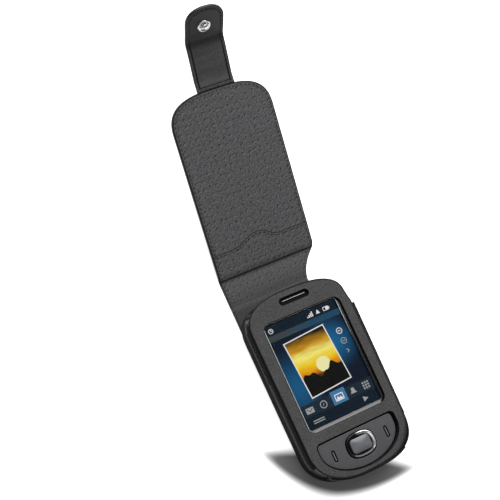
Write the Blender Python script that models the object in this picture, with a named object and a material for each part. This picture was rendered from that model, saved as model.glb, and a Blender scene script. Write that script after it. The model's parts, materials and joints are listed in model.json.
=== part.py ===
"""A handheld organiser in its leather flip case, with the flap laid open.

Metres, +Z up. The handheld lies on its back with its screen up. X runs across the screen,
Y runs towards the end where the flap is hinged, and the origin is the middle of the case's
back face. Flap pieces are modelled flat, each under an empty that lies on its fold.
"""

import math

import bmesh
import bpy
from mathutils import Matrix, Vector

MM = 0.001
TINY = 0.001 * MM

# Handheld body
PDA_WIDTH = 57.5 * MM
PDA_LENGTH = 98.8 * MM
PDA_THICKNESS = 13.2 * MM
TOP_END_DEPTH = 17.0 * MM
TOP_END_SQUARENESS = 2.8
BOTTOM_END_DEPTH = 20.0 * MM
BOTTOM_END_SQUARENESS = 2.4
BODY_WALL = 1.3 * MM
FACE_THICKNESS = 1.0 * MM
FACE_ROUNDING = 0.8 * MM
REAR_FLOOR = 1.2 * MM
REAR_HEIGHT = 6.2 * MM
REAR_ROUNDING = 2.2 * MM

# Clearances
FIT_GAP = 0.3 * MM
KEY_GAP = 0.45 * MM
LAYER_GAP = 0.1 * MM
FOLD_GAP = 0.3 * MM
CLOSED_GAP = 0.4 * MM

# Display
DISPLAY_SIDE = 7.4 * MM
DISPLAY_DROP = 12.55 * MM
DISPLAY_RISE = 29.25 * MM
DISPLAY_MARGIN = 0.3 * MM
DISPLAY_CORNER = 1.0 * MM
TOUCH_LAP = 1.5 * MM
TOUCH_THICKNESS = 0.6 * MM
TOUCH_CORNER = 2.0 * MM
MODULE_LAP = 1.2 * MM
MODULE_THICKNESS = 2.2 * MM
BEZEL_LAP = 1.0 * MM
BEZEL_CHAMFER = 0.7 * MM

# Keys
PAD_RISE = 12.9 * MM
PAD_WIDTH = 16.0 * MM
PAD_HEIGHT = 12.4 * MM
PAD_SQUARENESS = 2.6
PAD_RIM = 2.4 * MM
PAD_FLANGE = 0.9 * MM
PAD_CROWN = 0.7 * MM
PAD_TILT_ROOM = 0.6 * MM
KEY_ROUNDING = 2.0 * MM
SIDE_KEY_INSET = 7.3 * MM
SIDE_KEY_WIDTH = 1.7 * MM
SIDE_KEY_HEIGHT = 5.8 * MM
SIDE_KEY_FLANGE = 0.8 * MM
KEY_FLANGE_THICKNESS = 0.5 * MM
KEY_PROUD = 0.4 * MM
PANEL_SUNK = 0.4 * MM
PANEL_LAP = 0.9 * MM
PANEL_FLANGE_THICKNESS = 0.8 * MM
PANEL_EDGE_GAP = 0.4 * MM
ROCKER_WIDTH = 8.0 * MM
ROCKER_THICKNESS = 0.5 * MM
PLUNGER_RADIUS = 1.2 * MM
DOME_RADIUS = 1.4 * MM
DOME_HEIGHT = 0.3 * MM
DOME_SHEET_THICKNESS = 0.2 * MM
KEY_BOARD_THICKNESS = 0.6 * MM
KEY_BOARD_INSET = 3.0 * MM

# Inner pieces
BATTERY_SIDE = 11.25 * MM
BATTERY_DROP = 39.4 * MM
BATTERY_RISE = 13.4 * MM
BATTERY_THICKNESS = 4.4 * MM
BATTERY_ROUNDING = 1.2 * MM
DOOR_LAP = 0.6 * MM
DOOR_THICKNESS = 1.0 * MM
DOOR_CORNER = 3.0 * MM
BOARD_GAP = 0.6 * MM
BOARD_THICKNESS = 0.9 * MM
SHIELD_SIDE = 4.35 * MM
SHIELD_END = 8.5 * MM
SHIELD_HEIGHT = 1.0 * MM
SHIELD_CORNER = 1.0 * MM
CAMERA_INSET = 16.75 * MM
CAMERA_SIZE = 8.0 * MM
CAMERA_CORNER = 0.8 * MM
CAMERA_BARREL_RADIUS = 2.6 * MM
CAMERA_DROP = 12.6 * MM
LENS_RADIUS = 3.3 * MM
LENS_THICKNESS = 0.8 * MM
SPEAKER_INSET = 16.75 * MM
SPEAKER_RADIUS = 6.0 * MM
SPEAKER_HEIGHT = 3.2 * MM
MAGNET_RADIUS = 4.2 * MM
SPEAKER_SLOT = 0.8 * MM
MOTOR_INSET = 7.75 * MM
MOTOR_DROP = 24.4 * MM
MOTOR_RADIUS = 2.0 * MM
MOTOR_LENGTH = 10.0 * MM
MOTOR_SADDLE = 0.6 * MM
ANTENNA_SIDE = 15.75 * MM
ANTENNA_DEPTH = 3.4 * MM
ANTENNA_HEIGHT = 4.0 * MM
ANTENNA_CORNER = 0.8 * MM
EARPIECE_WIDTH = 12.0 * MM
EARPIECE_DEPTH = 6.0 * MM
EARPIECE_HEIGHT = 2.4 * MM
EARPIECE_DROP = 1.2 * MM
EARPIECE_CORNER = 2.0 * MM
GRILLE_THICKNESS = 0.5 * MM
GRILLE_PITCH = 1.6 * MM
GRILLE_HOLE = 0.45 * MM
MICROPHONE_X = 11.0 * MM
MICROPHONE_RADIUS = 1.3 * MM
MICROPHONE_HEIGHT = 1.4 * MM
CARD_HOLDER_DEPTH = 12.0 * MM
CARD_HOLDER_HEIGHT = 1.6 * MM
CARD_HOLDER_GAP = 1.5 * MM
CARD_HOLDER_CORNER = 0.6 * MM
SIM_SIDE = 12.75 * MM
CARD_SIDE = 15.75 * MM
USB_WIDTH = 7.7 * MM
USB_HEIGHT = 3.9 * MM
USB_DEPTH = 7.5 * MM
USB_WALL = 0.5 * MM
USB_TONGUE = 0.8 * MM

# Housing screws
SCREW_RADIUS = 0.8 * MM
SCREW_HEAD_RADIUS = 1.5 * MM
SCREW_HEAD_HEIGHT = 0.9 * MM
SCREW_LENGTH = 7.6 * MM
BOSS_RADIUS = 1.9 * MM
TOP_SCREW_INSET = 9.25 * MM
TOP_SCREW_DROP = 9.0 * MM
LOW_SCREW_INSET = 8.75 * MM
LOW_SCREW_DROP = 2.4 * MM

# Side controls
SLIDER_DROP = 25.4 * MM
SLIDER_LENGTH = 11.0 * MM
SLIDER_HEIGHT = 1.7 * MM
SLIDER_RISE = 10.9 * MM
SLIDER_TRAVEL = 1.5 * MM
SLIDER_DEPTH = 2.6 * MM
CONTROL_PROUD = 0.5 * MM
POWER_INSET = 8.75 * MM
POWER_LENGTH = 7.0 * MM
POWER_HEIGHT = 2.0 * MM
POWER_RISE = 9.6 * MM
POWER_DEPTH = 4.5 * MM

# Stylus
STYLUS_INSET = 4.95 * MM
STYLUS_RISE = 3.6 * MM
STYLUS_SHORTFALL = 20.8 * MM
STYLUS_RADIUS = 1.35 * MM
STYLUS_HEAD_RADIUS = 1.7 * MM
STYLUS_HEAD_LENGTH = 7.0 * MM
STYLUS_TIP_LENGTH = 4.0 * MM
STYLUS_TIP_RADIUS = 0.4 * MM

# Leather holder
BACK_SIDE = 0.25 * MM
BACK_THICKNESS = 2.0 * MM
FRONT_THICKNESS = 1.2 * MM
FRONT_ROUNDING = 0.8 * MM
FRONT_SETBACK = 0.8 * MM
TOP_OVERHANG = 0.4 * MM
WALL_THICKNESS = 1.3 * MM
WALL_ROUNDING = 0.5 * MM
WINDOW_SIDE = 1.3 * MM
WINDOW_HEAD = 0.7 * MM
WINDOW_FOOT = 1.9 * MM
WINDOW_CORNER = 4.0 * MM
EAR_SLOT_WIDTH = 17.0 * MM
EAR_SLOT_HEIGHT = 3.2 * MM
EAR_SLOT_DROP = 4.25 * MM
KEY_WINDOW_SIDE = 5.95 * MM
KEY_WINDOW_RISE = 21.65 * MM
KEY_WINDOW_HEIGHT = 20.0 * MM
KEY_WINDOW_BOW = 14.2 * MM
KEY_WINDOW_CORNER = 2.5 * MM
LEAST_CORNER = 0.5 * MM
WALL_RISE = 17.4 * MM
LEFT_WALL_DROP = 8.9 * MM
RIGHT_WALL_DROP = 18.4 * MM
BOTTOM_WALL_SIDE = 7.25 * MM
SLIDER_SLOT_DROP = 11.9 * MM
SLIDER_SLOT_LENGTH = 28.75 * MM
SLIDER_SLOT_HEIGHT = 2.4 * MM
PORT_WIDTH = 13.0 * MM
PORT_MARGIN = 1.2 * MM
CAMERA_HOLE_RADIUS = 5.5 * MM
BACK_CORNER_DEPTH = 16.0 * MM

# Flap
SPINE_LENGTH = 17.6 * MM
SPINE_SCOOP = 11.3 * MM
SPINE_FLARE = 9.6 * MM
COVER_SIDE = 0.15 * MM
COVER_SETBACK = 5.2 * MM
COVER_END_DEPTH = 19.0 * MM
COVER_END_SQUARENESS = 3.2
LINING_THICKNESS = 0.6 * MM
STIFFENER_THICKNESS = 0.5 * MM
STIFFENER_INSET = 4.0 * MM
SEAM_OFFSET = 14.6 * MM
SEAM_RISE = 5.3 * MM
SEAM_SPREAD = 6.0 * MM
SEAM_X = 0.8 * MM
COVER_ANGLE = math.radians(24.4)
BADGE_SIDE = 15.3 * MM
BADGE_DROP = 13.7 * MM
BADGE_RADIUS = 3.9 * MM
BADGE_HEIGHT = 0.9 * MM

# Strap and snap fastener
STRAP_WIDTH = 21.2 * MM
STRAP_THICKNESS = 1.6 * MM
STRAP_TONGUE = 7.0 * MM
STRAP_END_LENGTH = 20.0 * MM
STRAP_TIP_DEPTH = 9.0 * MM
STRAP_TIP_SQUARENESS = 2.6
STRAP_ANGLE = math.radians(11.6)
STRAP_END_ANGLE = math.radians(30.0)
SNAP_Y = 8.6 * MM
SNAP_FLANGE_RADIUS = 4.0 * MM
SNAP_FLANGE_HEIGHT = 0.6 * MM
SNAP_CHAMFER = 0.5 * MM
SNAP_POST_RADIUS = 1.8 * MM
SNAP_POST_HEIGHT = 2.1 * MM
SNAP_NECK_RADIUS = 1.5 * MM
SNAP_BORE_RADIUS = 2.5 * MM
SNAP_BODY_RADIUS = 4.3 * MM
SNAP_LIP = 1.1 * MM
SNAP_LIP_HEIGHT = 0.5 * MM
SNAP_CAP_RADIUS = 4.8 * MM
SNAP_CAP_HEIGHT = 1.1 * MM
SNAP_SHANK_RADIUS = 1.3 * MM

# Facets of the curves
END_STEPS = 18
CORNER_STEPS = 5
ROUND_STEPS = 20
SMALL_STEPS = 12
DOME_STEPS = 4
SHARP_ANGLE = math.radians(30)

# Levels worked out from the sizes, from the back face up
PDA_BACK = BACK_THICKNESS + FIT_GAP
PDA_FRONT = PDA_BACK + PDA_THICKNESS
FRONT_LOW = PDA_FRONT + FIT_GAP
FRONT_HIGH = FRONT_LOW + FRONT_THICKNESS
SPLIT = PDA_BACK + REAR_HEIGHT
FLOOR_HIGH = PDA_BACK + REAR_FLOOR
FACE_LOW = PDA_FRONT - FACE_THICKNESS
BATTERY_LOW = PDA_BACK + DOOR_THICKNESS + FIT_GAP
BATTERY_HIGH = BATTERY_LOW + BATTERY_THICKNESS
BOARD_LOW = BATTERY_HIGH + BOARD_GAP
BOARD_HIGH = BOARD_LOW + BOARD_THICKNESS
TOUCH_HIGH = FACE_LOW - FIT_GAP
TOUCH_LOW = TOUCH_HIGH - TOUCH_THICKNESS
MODULE_HIGH = TOUCH_LOW - FIT_GAP
MODULE_LOW = MODULE_HIGH - MODULE_THICKNESS
PANEL_FLANGE_HIGH = FACE_LOW - FIT_GAP
PANEL_FLANGE_LOW = PANEL_FLANGE_HIGH - PANEL_FLANGE_THICKNESS
PANEL_HIGH = FRONT_HIGH - PANEL_SUNK
KEY_FLANGE_HIGH = PANEL_FLANGE_LOW - PAD_TILT_ROOM
KEY_FLANGE_LOW = KEY_FLANGE_HIGH - KEY_FLANGE_THICKNESS
ROCKER_HIGH = KEY_FLANGE_LOW - FIT_GAP
ROCKER_LOW = ROCKER_HIGH - ROCKER_THICKNESS
KEY_BOARD_LOW = BOARD_HIGH + FIT_GAP
KEY_BOARD_HIGH = KEY_BOARD_LOW + KEY_BOARD_THICKNESS
DOME_LOW = KEY_BOARD_HIGH + LAYER_GAP
DOME_HIGH = DOME_LOW + DOME_SHEET_THICKNESS

# Widths and places across, worked out from the handheld's width
DISPLAY_WIDTH = PDA_WIDTH - 2 * DISPLAY_SIDE
WINDOW_WIDTH = DISPLAY_WIDTH + 2 * WINDOW_SIDE
KEY_WINDOW_WIDTH = PDA_WIDTH - 2 * KEY_WINDOW_SIDE
SIDE_KEY_X = KEY_WINDOW_WIDTH / 2 - SIDE_KEY_INSET
BATTERY_WIDTH = PDA_WIDTH - 2 * BATTERY_SIDE
SHIELD_WIDTH = DISPLAY_WIDTH - 2 * SHIELD_SIDE
ANTENNA_WIDTH = PDA_WIDTH - 2 * ANTENNA_SIDE
SIM_WIDTH = PDA_WIDTH / 2 - SIM_SIDE
CARD_WIDTH = PDA_WIDTH / 2 - CARD_SIDE
CAMERA_X = CAMERA_INSET - PDA_WIDTH / 2
SPEAKER_X = PDA_WIDTH / 2 - SPEAKER_INSET
MOTOR_X = MOTOR_INSET - PDA_WIDTH / 2
TOP_SCREW_X = PDA_WIDTH / 2 - TOP_SCREW_INSET
LOW_SCREW_X = PDA_WIDTH / 2 - LOW_SCREW_INSET
POWER_X = PDA_WIDTH / 2 - POWER_INSET
STYLUS_X = PDA_WIDTH / 2 - STYLUS_INSET
BACK_WIDTH = PDA_WIDTH + 2 * BACK_SIDE
BOTTOM_WALL_WIDTH = PDA_WIDTH - 2 * BOTTOM_WALL_SIDE
COVER_WIDTH = PDA_WIDTH + 2 * COVER_SIDE
SPINE_NECK = COVER_WIDTH / 2 - SPINE_SCOOP
BADGE_X = COVER_WIDTH / 2 - BADGE_SIDE

# Lengths and places along, worked out from the handheld's length
PDA_TOP = PDA_LENGTH / 2
PDA_BOTTOM = -PDA_LENGTH / 2
DISPLAY_HEIGHT = PDA_LENGTH - DISPLAY_DROP - DISPLAY_RISE
DISPLAY_Y = (DISPLAY_RISE - DISPLAY_DROP) / 2
WINDOW_HEIGHT = DISPLAY_HEIGHT + WINDOW_HEAD + WINDOW_FOOT
WINDOW_Y = DISPLAY_Y + (WINDOW_HEAD - WINDOW_FOOT) / 2
SHIELD_LENGTH = DISPLAY_HEIGHT - 2 * SHIELD_END
KEY_WINDOW_TOP = PDA_BOTTOM + KEY_WINDOW_RISE
PAD_Y = PDA_BOTTOM + PAD_RISE
BATTERY_LENGTH = PDA_LENGTH - BATTERY_DROP - BATTERY_RISE
BATTERY_Y = (BATTERY_RISE - BATTERY_DROP) / 2
MOTOR_Y = PDA_TOP - MOTOR_DROP
SLIDER_Y = PDA_TOP - SLIDER_DROP
STYLUS_LENGTH = PDA_LENGTH - STYLUS_SHORTFALL
WALL_LOW_END = PDA_BOTTOM + WALL_RISE
LEFT_WALL_TOP = PDA_TOP - LEFT_WALL_DROP
RIGHT_WALL_TOP = PDA_TOP - RIGHT_WALL_DROP
SLIDER_SLOT_END = PDA_TOP - SLIDER_SLOT_DROP
SLIDER_SLOT_START = SLIDER_SLOT_END - SLIDER_SLOT_LENGTH
SLEEVE_GROW = FIT_GAP + WALL_THICKNESS
HOLDER_TOP = PDA_TOP + TOP_OVERHANG
HOLDER_BOTTOM = PDA_BOTTOM - SLEEVE_GROW
FOLD_HEIGHT = BACK_THICKNESS / 2
SPINE_Y = HOLDER_TOP + CLOSED_GAP + FOLD_HEIGHT
STRAP_REACH = SPINE_Y - HOLDER_BOTTOM + CLOSED_GAP + STRAP_THICKNESS / 2
COVER_LENGTH = STRAP_REACH - COVER_SETBACK
BADGE_Y = COVER_LENGTH - BADGE_DROP
SNAP_STANDOFF = LAYER_GAP + SNAP_FLANGE_HEIGHT + FIT_GAP
STRAP_LENGTH = FOLD_HEIGHT + SPINE_LENGTH + SNAP_STANDOFF + STRAP_THICKNESS / 2
SOCKET_Y = SPINE_Y - STRAP_REACH + SNAP_Y
EAR_Y = HOLDER_TOP - EAR_SLOT_DROP
CAMERA_Y = PDA_TOP - CAMERA_DROP
SPEAKER_Y = CAMERA_Y
SCREW_PLACES = [
    (-TOP_SCREW_X, PDA_TOP - TOP_SCREW_DROP),
    (TOP_SCREW_X, PDA_TOP - TOP_SCREW_DROP),
    (-LOW_SCREW_X, WINDOW_Y - WINDOW_HEIGHT / 2 - LOW_SCREW_DROP),
    (LOW_SCREW_X, WINDOW_Y - WINDOW_HEIGHT / 2 - LOW_SCREW_DROP),
]

# Colour, roughness and metallic value of each finish
FINISHES = {
    "black_leather": ((0.045, 0.045, 0.047), 0.55, 0.0),
    "grey_lining": ((0.070, 0.072, 0.072), 0.70, 0.0),
    "stiff_board": ((0.300, 0.270, 0.220), 0.90, 0.0),
    "soft_plastic": ((0.080, 0.080, 0.085), 0.50, 0.0),
    "black_plastic": ((0.015, 0.015, 0.016), 0.40, 0.0),
    "silver_plastic": ((0.500, 0.500, 0.500), 0.35, 0.0),
    "chrome": ((0.800, 0.800, 0.810), 0.12, 1.0),
    "steel": ((0.550, 0.550, 0.560), 0.30, 1.0),
    "glass": ((0.020, 0.045, 0.090), 0.08, 0.0),
    "circuit_green": ((0.020, 0.120, 0.050), 0.50, 0.0),
    "rubber": ((0.030, 0.030, 0.030), 0.80, 0.0),
    "battery_grey": ((0.180, 0.180, 0.190), 0.50, 0.0),
}


def finish(name):
    """The material of a finish, made once."""
    if name in bpy.data.materials:
        return bpy.data.materials[name]
    colour, roughness, metallic = FINISHES[name]
    material = bpy.data.materials.new(name)
    material.use_nodes = True
    shader = material.node_tree.nodes["Principled BSDF"]
    shader.inputs["Base Color"].default_value = (*colour, 1.0)
    shader.inputs["Roughness"].default_value = roughness
    shader.inputs["Metallic"].default_value = metallic
    return material


def clear_scene():
    for old in list(bpy.data.objects):
        bpy.data.objects.remove(old, do_unlink=True)


def piece(name, bm, finish_name, parent=None):
    """Turns a bmesh into a named object of the assembly."""
    bmesh.ops.recalc_face_normals(bm, faces=bm.faces)
    mesh = bpy.data.meshes.new(name)
    bm.to_mesh(mesh)
    bm.free()
    mesh.shade_smooth()
    mesh.set_sharp_from_angle(angle=SHARP_ANGLE)
    mesh.materials.append(finish(finish_name))
    obj = bpy.data.objects.new(name, mesh)
    bpy.context.scene.collection.objects.link(obj)
    obj.parent = parent
    return obj


def shape_with(obj, bm, operation):
    """Cuts, joins or keeps part of a piece with a hidden tool in the same frame."""
    tool = piece(f"{obj.name}_{operation.lower()}_{len(obj.modifiers)}", bm, "steel", obj.parent)
    tool.hide_render = True
    tool.display_type = "WIRE"
    modifier = obj.modifiers.new(operation.lower(), "BOOLEAN")
    modifier.operation = operation
    modifier.solver = "EXACT"
    modifier.object = tool


def cut(obj, bm):
    shape_with(obj, bm, "DIFFERENCE")


def join(obj, bm):
    shape_with(obj, bm, "UNION")


def keep(obj, bm):
    shape_with(obj, bm, "INTERSECT")


def add_slab(bm, outline, low, high):
    """Adds an outline extruded between two levels."""
    base = bm.faces.new([bm.verts.new((x, y, low)) for x, y in outline])
    lifted = bmesh.ops.extrude_face_region(bm, geom=[base])["geom"]
    corners = [item for item in lifted if isinstance(item, bmesh.types.BMVert)]
    bmesh.ops.translate(bm, verts=corners, vec=(0, 0, high - low))
    return bm


def slab(outline, low, high):
    return add_slab(bmesh.new(), outline, low, high)


def box(low, high):
    """A plain block between two opposite corners."""
    outline = [(low[0], low[1]), (high[0], low[1]), (high[0], high[1]), (low[0], high[1])]
    return slab(outline, low[2], high[2])


def add_rod(bm, radius, start, end):
    """Adds a cylinder between two points."""
    start, end = Vector(start), Vector(end)
    along = end - start
    turn = Vector((0, 0, 1)).rotation_difference(along).to_matrix().to_4x4()
    bmesh.ops.create_cone(
        bm,
        cap_ends=True,
        segments=ROUND_STEPS,
        radius1=radius,
        radius2=radius,
        depth=along.length,
        matrix=Matrix.Translation((start + end) / 2) @ turn,
    )
    return bm


def rod(radius, start, end):
    return add_rod(bmesh.new(), radius, start, end)


def turned(profile, x=0.0, y=0.0, steps=ROUND_STEPS):
    """Spins a profile of (radius, level) points, from its low end to its high end, about Z."""
    bm = bmesh.new()
    corners = [bm.verts.new((radius, 0, level)) for radius, level in profile]
    edges = [bm.edges.new(pair) for pair in zip(corners, corners[1:])]
    bmesh.ops.spin(
        bm,
        geom=corners + edges,
        axis=(0, 0, 1),
        cent=(0, 0, 0),
        angle=math.tau,
        steps=steps,
        use_merge=True,
    )
    bmesh.ops.remove_doubles(bm, verts=bm.verts, dist=TINY)
    bmesh.ops.translate(bm, verts=bm.verts, vec=(x, y, 0))
    return bm


def soften(bm, level, width, steps=2):
    """Rounds the edges that lie on one level."""
    rim = [edge for edge in bm.edges if all(abs(v.co.z - level) < TINY for v in edge.verts)]
    bmesh.ops.bevel(
        bm, geom=rim, offset=width, segments=steps, profile=0.5, affect="EDGES", material=-1
    )
    return bm


def trim(bm, point, normal):
    """Slices off what lies on the normal's side of a plane, and closes the cut."""
    everything = bm.verts[:] + bm.edges[:] + bm.faces[:]
    sliced = bmesh.ops.bisect_plane(
        bm, geom=everything, plane_co=point, plane_no=normal, clear_outer=True
    )
    edges = [item for item in sliced["geom_cut"] if isinstance(item, bmesh.types.BMEdge)]
    if edges:
        bmesh.ops.edgeloop_fill(bm, edges=edges)
    return bm


def mitre(bm, y, level, side):
    """Slopes the upper half of a panel's end at a fold, so that the fold can close to a right angle."""
    return trim(bm, (0, y, level), (0, side, 1))


def superellipse(half_width, half_height, squareness, start, end, steps):
    """Points of a superellipse between two angles in turns."""
    points = []
    for step in range(steps + 1):
        angle = math.tau * (start + (end - start) * step / steps)
        across, along = math.cos(angle), math.sin(angle)
        x = half_width * math.copysign(abs(across) ** (2 / squareness), across)
        y = half_height * math.copysign(abs(along) ** (2 / squareness), along)
        points.append((x, y))
    return points


def moved(points, x, y):
    return [(px + x, py + y) for px, py in points]


def oval(width, height, squareness, x, y):
    ring = superellipse(width / 2, height / 2, squareness, 0, 1, ROUND_STEPS)
    return moved(ring[:-1], x, y)


def rounded_rectangle(width, height, corner, x=0.0, y=0.0):
    """A rectangle with round corners, anticlockwise from the right."""
    across, along = width / 2 - corner, height / 2 - corner
    points = []
    for quarter, (sx, sy) in enumerate([(1, 1), (-1, 1), (-1, -1), (1, -1)]):
        arc = superellipse(corner, corner, 2, quarter / 4, quarter / 4 + 0.25, CORNER_STEPS)
        points += moved(arc, x + sx * across, y + sy * along)
    return points


def capsule(width, height, x, y):
    """A slot with half-round ends. A hair is left straight so that no two points meet."""
    return rounded_rectangle(width, height, min(width, height) / 2 - TINY, x, y)


def body_outline(grow, top_grow=None):
    """The handheld's outline from the front, grown outwards, with its two rounded ends."""
    half = PDA_WIDTH / 2 + grow
    top_grow = grow if top_grow is None else top_grow
    top = superellipse(half, TOP_END_DEPTH + top_grow, TOP_END_SQUARENESS, 0, 0.5, END_STEPS)
    low = superellipse(half, BOTTOM_END_DEPTH + grow, BOTTOM_END_SQUARENESS, 0.5, 1, END_STEPS)
    upper = moved(top, 0, PDA_TOP - TOP_END_DEPTH)
    return upper + moved(low, 0, PDA_BOTTOM + BOTTOM_END_DEPTH)


def key_window_outline(grow):
    """The keypad's outline: straight across the top, bowed below."""
    half = KEY_WINDOW_WIDTH / 2 + grow
    corner = max(KEY_WINDOW_CORNER + grow, LEAST_CORNER)
    bow_y = KEY_WINDOW_TOP - KEY_WINDOW_HEIGHT + KEY_WINDOW_BOW
    points = []
    for quarter, side in enumerate([1, -1]):
        arc = superellipse(corner, corner, 2, quarter / 4, quarter / 4 + 0.25, CORNER_STEPS)
        points += moved(arc, side * (half - corner), KEY_WINDOW_TOP + grow - corner)
    bow = superellipse(half, KEY_WINDOW_BOW + grow, 2, 0.5, 1, END_STEPS)
    return points + moved(bow, 0, bow_y)


def screw_rods(radius, low, high):
    """One rod on each housing screw's axis, as a single tool."""
    bm = bmesh.new()
    for x, y in SCREW_PLACES:
        add_rod(bm, radius, (x, y, low), (x, y, high))
    return bm


# Handheld: housings

def front_housing():
    bm = slab(body_outline(0), SPLIT + FIT_GAP / 2, PDA_FRONT)
    housing = piece("front_housing", soften(bm, PDA_FRONT, FACE_ROUNDING), "black_plastic")
    cut(housing, slab(body_outline(-BODY_WALL), SPLIT - BODY_WALL, FACE_LOW))
    join(housing, screw_rods(BOSS_RADIUS, BOARD_HIGH + FIT_GAP, FACE_LOW + FACE_THICKNESS / 2))
    cut(housing, slab(bezel_outline(FIT_GAP), FACE_LOW - BODY_WALL, PDA_FRONT + BODY_WALL))
    panel_hole = key_window_outline(FIT_GAP - PANEL_EDGE_GAP)
    cut(housing, slab(panel_hole, FACE_LOW - BODY_WALL, PDA_FRONT + BODY_WALL))
    ear = capsule(EAR_SLOT_WIDTH, EAR_SLOT_HEIGHT, 0, EAR_Y)
    cut(housing, slab(ear, FACE_LOW - BODY_WALL, PDA_FRONT + BODY_WALL))
    cut(housing, screw_rods(SCREW_RADIUS + FIT_GAP, BOARD_LOW, screw_tip() + FIT_GAP))
    cut(housing, slider_slot(FIT_GAP, SLIDER_TRAVEL))
    cut(housing, power_block(FIT_GAP))
    return housing


def rear_housing():
    bm = slab(body_outline(0), PDA_BACK, SPLIT - FIT_GAP / 2)
    housing = piece("rear_housing", soften(bm, PDA_BACK, REAR_ROUNDING, 3), "black_plastic")
    cut(housing, slab(body_outline(-BODY_WALL), FLOOR_HIGH, SPLIT + BODY_WALL))
    join(housing, screw_rods(BOSS_RADIUS, PDA_BACK + REAR_FLOOR / 2, BOARD_LOW - FIT_GAP))
    cut(housing, slab(door_outline(FIT_GAP), PDA_BACK - REAR_FLOOR, FLOOR_HIGH + TINY))
    cut(housing, screw_rods(SCREW_RADIUS + FIT_GAP, PDA_BACK - REAR_FLOOR, SPLIT + BODY_WALL))
    cut(housing, screw_rods(SCREW_HEAD_RADIUS + FIT_GAP, PDA_BACK - REAR_FLOOR, screw_seat()))
    lens = (CAMERA_X, CAMERA_Y)
    cut(housing, rod(LENS_RADIUS + FIT_GAP, (*lens, PDA_BACK - REAR_FLOOR), (*lens, SPLIT)))
    cut(housing, speaker_slots())
    cut(housing, usb_block(PDA_BOTTOM - BODY_WALL, FIT_GAP))
    stylus = (STYLUS_X, PDA_BOTTOM - BODY_WALL, stylus_level())
    head_end = (STYLUS_X, stylus_start() + STYLUS_HEAD_LENGTH, stylus_level())
    cut(housing, rod(STYLUS_HEAD_RADIUS + FIT_GAP, stylus, head_end))
    join(housing, motor_saddle())
    return housing


def door_outline(grow):
    width = BATTERY_WIDTH + 2 * (DOOR_LAP + grow)
    length = BATTERY_LENGTH + 2 * (DOOR_LAP + grow)
    return rounded_rectangle(width, length, DOOR_CORNER + grow, 0, BATTERY_Y)


def battery_door():
    bm = slab(door_outline(0), PDA_BACK, PDA_BACK + DOOR_THICKNESS)
    return piece("battery_door", bm, "black_plastic")


def screw_seat():
    return PDA_BACK + SCREW_HEAD_HEIGHT + 2 * FIT_GAP


def screw_tip():
    return PDA_BACK + FIT_GAP + SCREW_HEAD_HEIGHT + SCREW_LENGTH


def housing_screws():
    low = PDA_BACK + FIT_GAP
    neck = low + SCREW_HEAD_HEIGHT
    profile = [
        (0, low),
        (SCREW_HEAD_RADIUS, low),
        (SCREW_HEAD_RADIUS, neck),
        (SCREW_RADIUS, neck),
        (SCREW_RADIUS, screw_tip() - SCREW_RADIUS),
        (SCREW_RADIUS / 2, screw_tip()),
        (0, screw_tip()),
    ]
    for number, (x, y) in enumerate(SCREW_PLACES, 1):
        piece(f"housing_screw_{number}", turned(profile, x, y, steps=SMALL_STEPS), "steel")


# Handheld: display

def bezel_outline(grow):
    width = WINDOW_WIDTH + 2 * (BEZEL_LAP + grow)
    height = WINDOW_HEIGHT + 2 * (BEZEL_LAP + grow)
    return rounded_rectangle(width, height, WINDOW_CORNER + BEZEL_LAP + grow, 0, WINDOW_Y)


def display_outline(grow, corner):
    width = DISPLAY_WIDTH + 2 * grow
    height = DISPLAY_HEIGHT + 2 * grow
    return rounded_rectangle(width, height, corner, 0, DISPLAY_Y)


def display_bezel():
    bezel = piece("display_bezel", slab(bezel_outline(0), FACE_LOW, PDA_FRONT), "silver_plastic")
    opening = slab(display_outline(DISPLAY_MARGIN, DISPLAY_CORNER), FACE_LOW - BODY_WALL, PDA_FRONT)
    top = [face for face in opening.faces if face.calc_center_median().z > PDA_FRONT - TINY]
    rise = BEZEL_CHAMFER + FIT_GAP
    bmesh.ops.translate(opening, verts=top[0].verts[:], vec=(0, 0, -BEZEL_CHAMFER))
    flared = bmesh.ops.extrude_face_region(opening, geom=top)["geom"]
    bmesh.ops.delete(opening, geom=top, context="FACES_ONLY")
    rim = [item for item in flared if isinstance(item, bmesh.types.BMVert)]
    centre = Vector((0, DISPLAY_Y, 0))
    wide = (DISPLAY_WIDTH + 2 * rise) / DISPLAY_WIDTH
    tall = (DISPLAY_HEIGHT + 2 * rise) / DISPLAY_HEIGHT
    about = Matrix.Translation(-centre)
    bmesh.ops.scale(opening, vec=(wide, tall, 1), verts=rim, space=about)
    bmesh.ops.translate(opening, verts=rim, vec=(0, 0, rise))
    cut(bezel, opening)
    return bezel


def touch_panel():
    bm = slab(display_outline(TOUCH_LAP, TOUCH_CORNER), TOUCH_LOW, TOUCH_HIGH)
    return piece("touch_panel", bm, "glass")


def display_module():
    bm = slab(display_outline(MODULE_LAP, DISPLAY_CORNER), MODULE_LOW, MODULE_HIGH)
    return piece("display_module", bm, "steel")


# Handheld: keypad

def pad_oval(grow):
    return oval(PAD_WIDTH + 2 * grow, PAD_HEIGHT + 2 * grow, PAD_SQUARENESS, 0, PAD_Y)


def centre_key_outline(grow):
    width = PAD_WIDTH - 2 * PAD_RIM + 2 * grow
    height = PAD_HEIGHT - 2 * PAD_RIM + 2 * grow
    return rounded_rectangle(width, height, KEY_ROUNDING + grow, 0, PAD_Y)


def side_key_outline(side, grow):
    width = SIDE_KEY_WIDTH + 2 * grow
    return capsule(width, SIDE_KEY_HEIGHT + 2 * grow, side * SIDE_KEY_X, PAD_Y)


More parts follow.
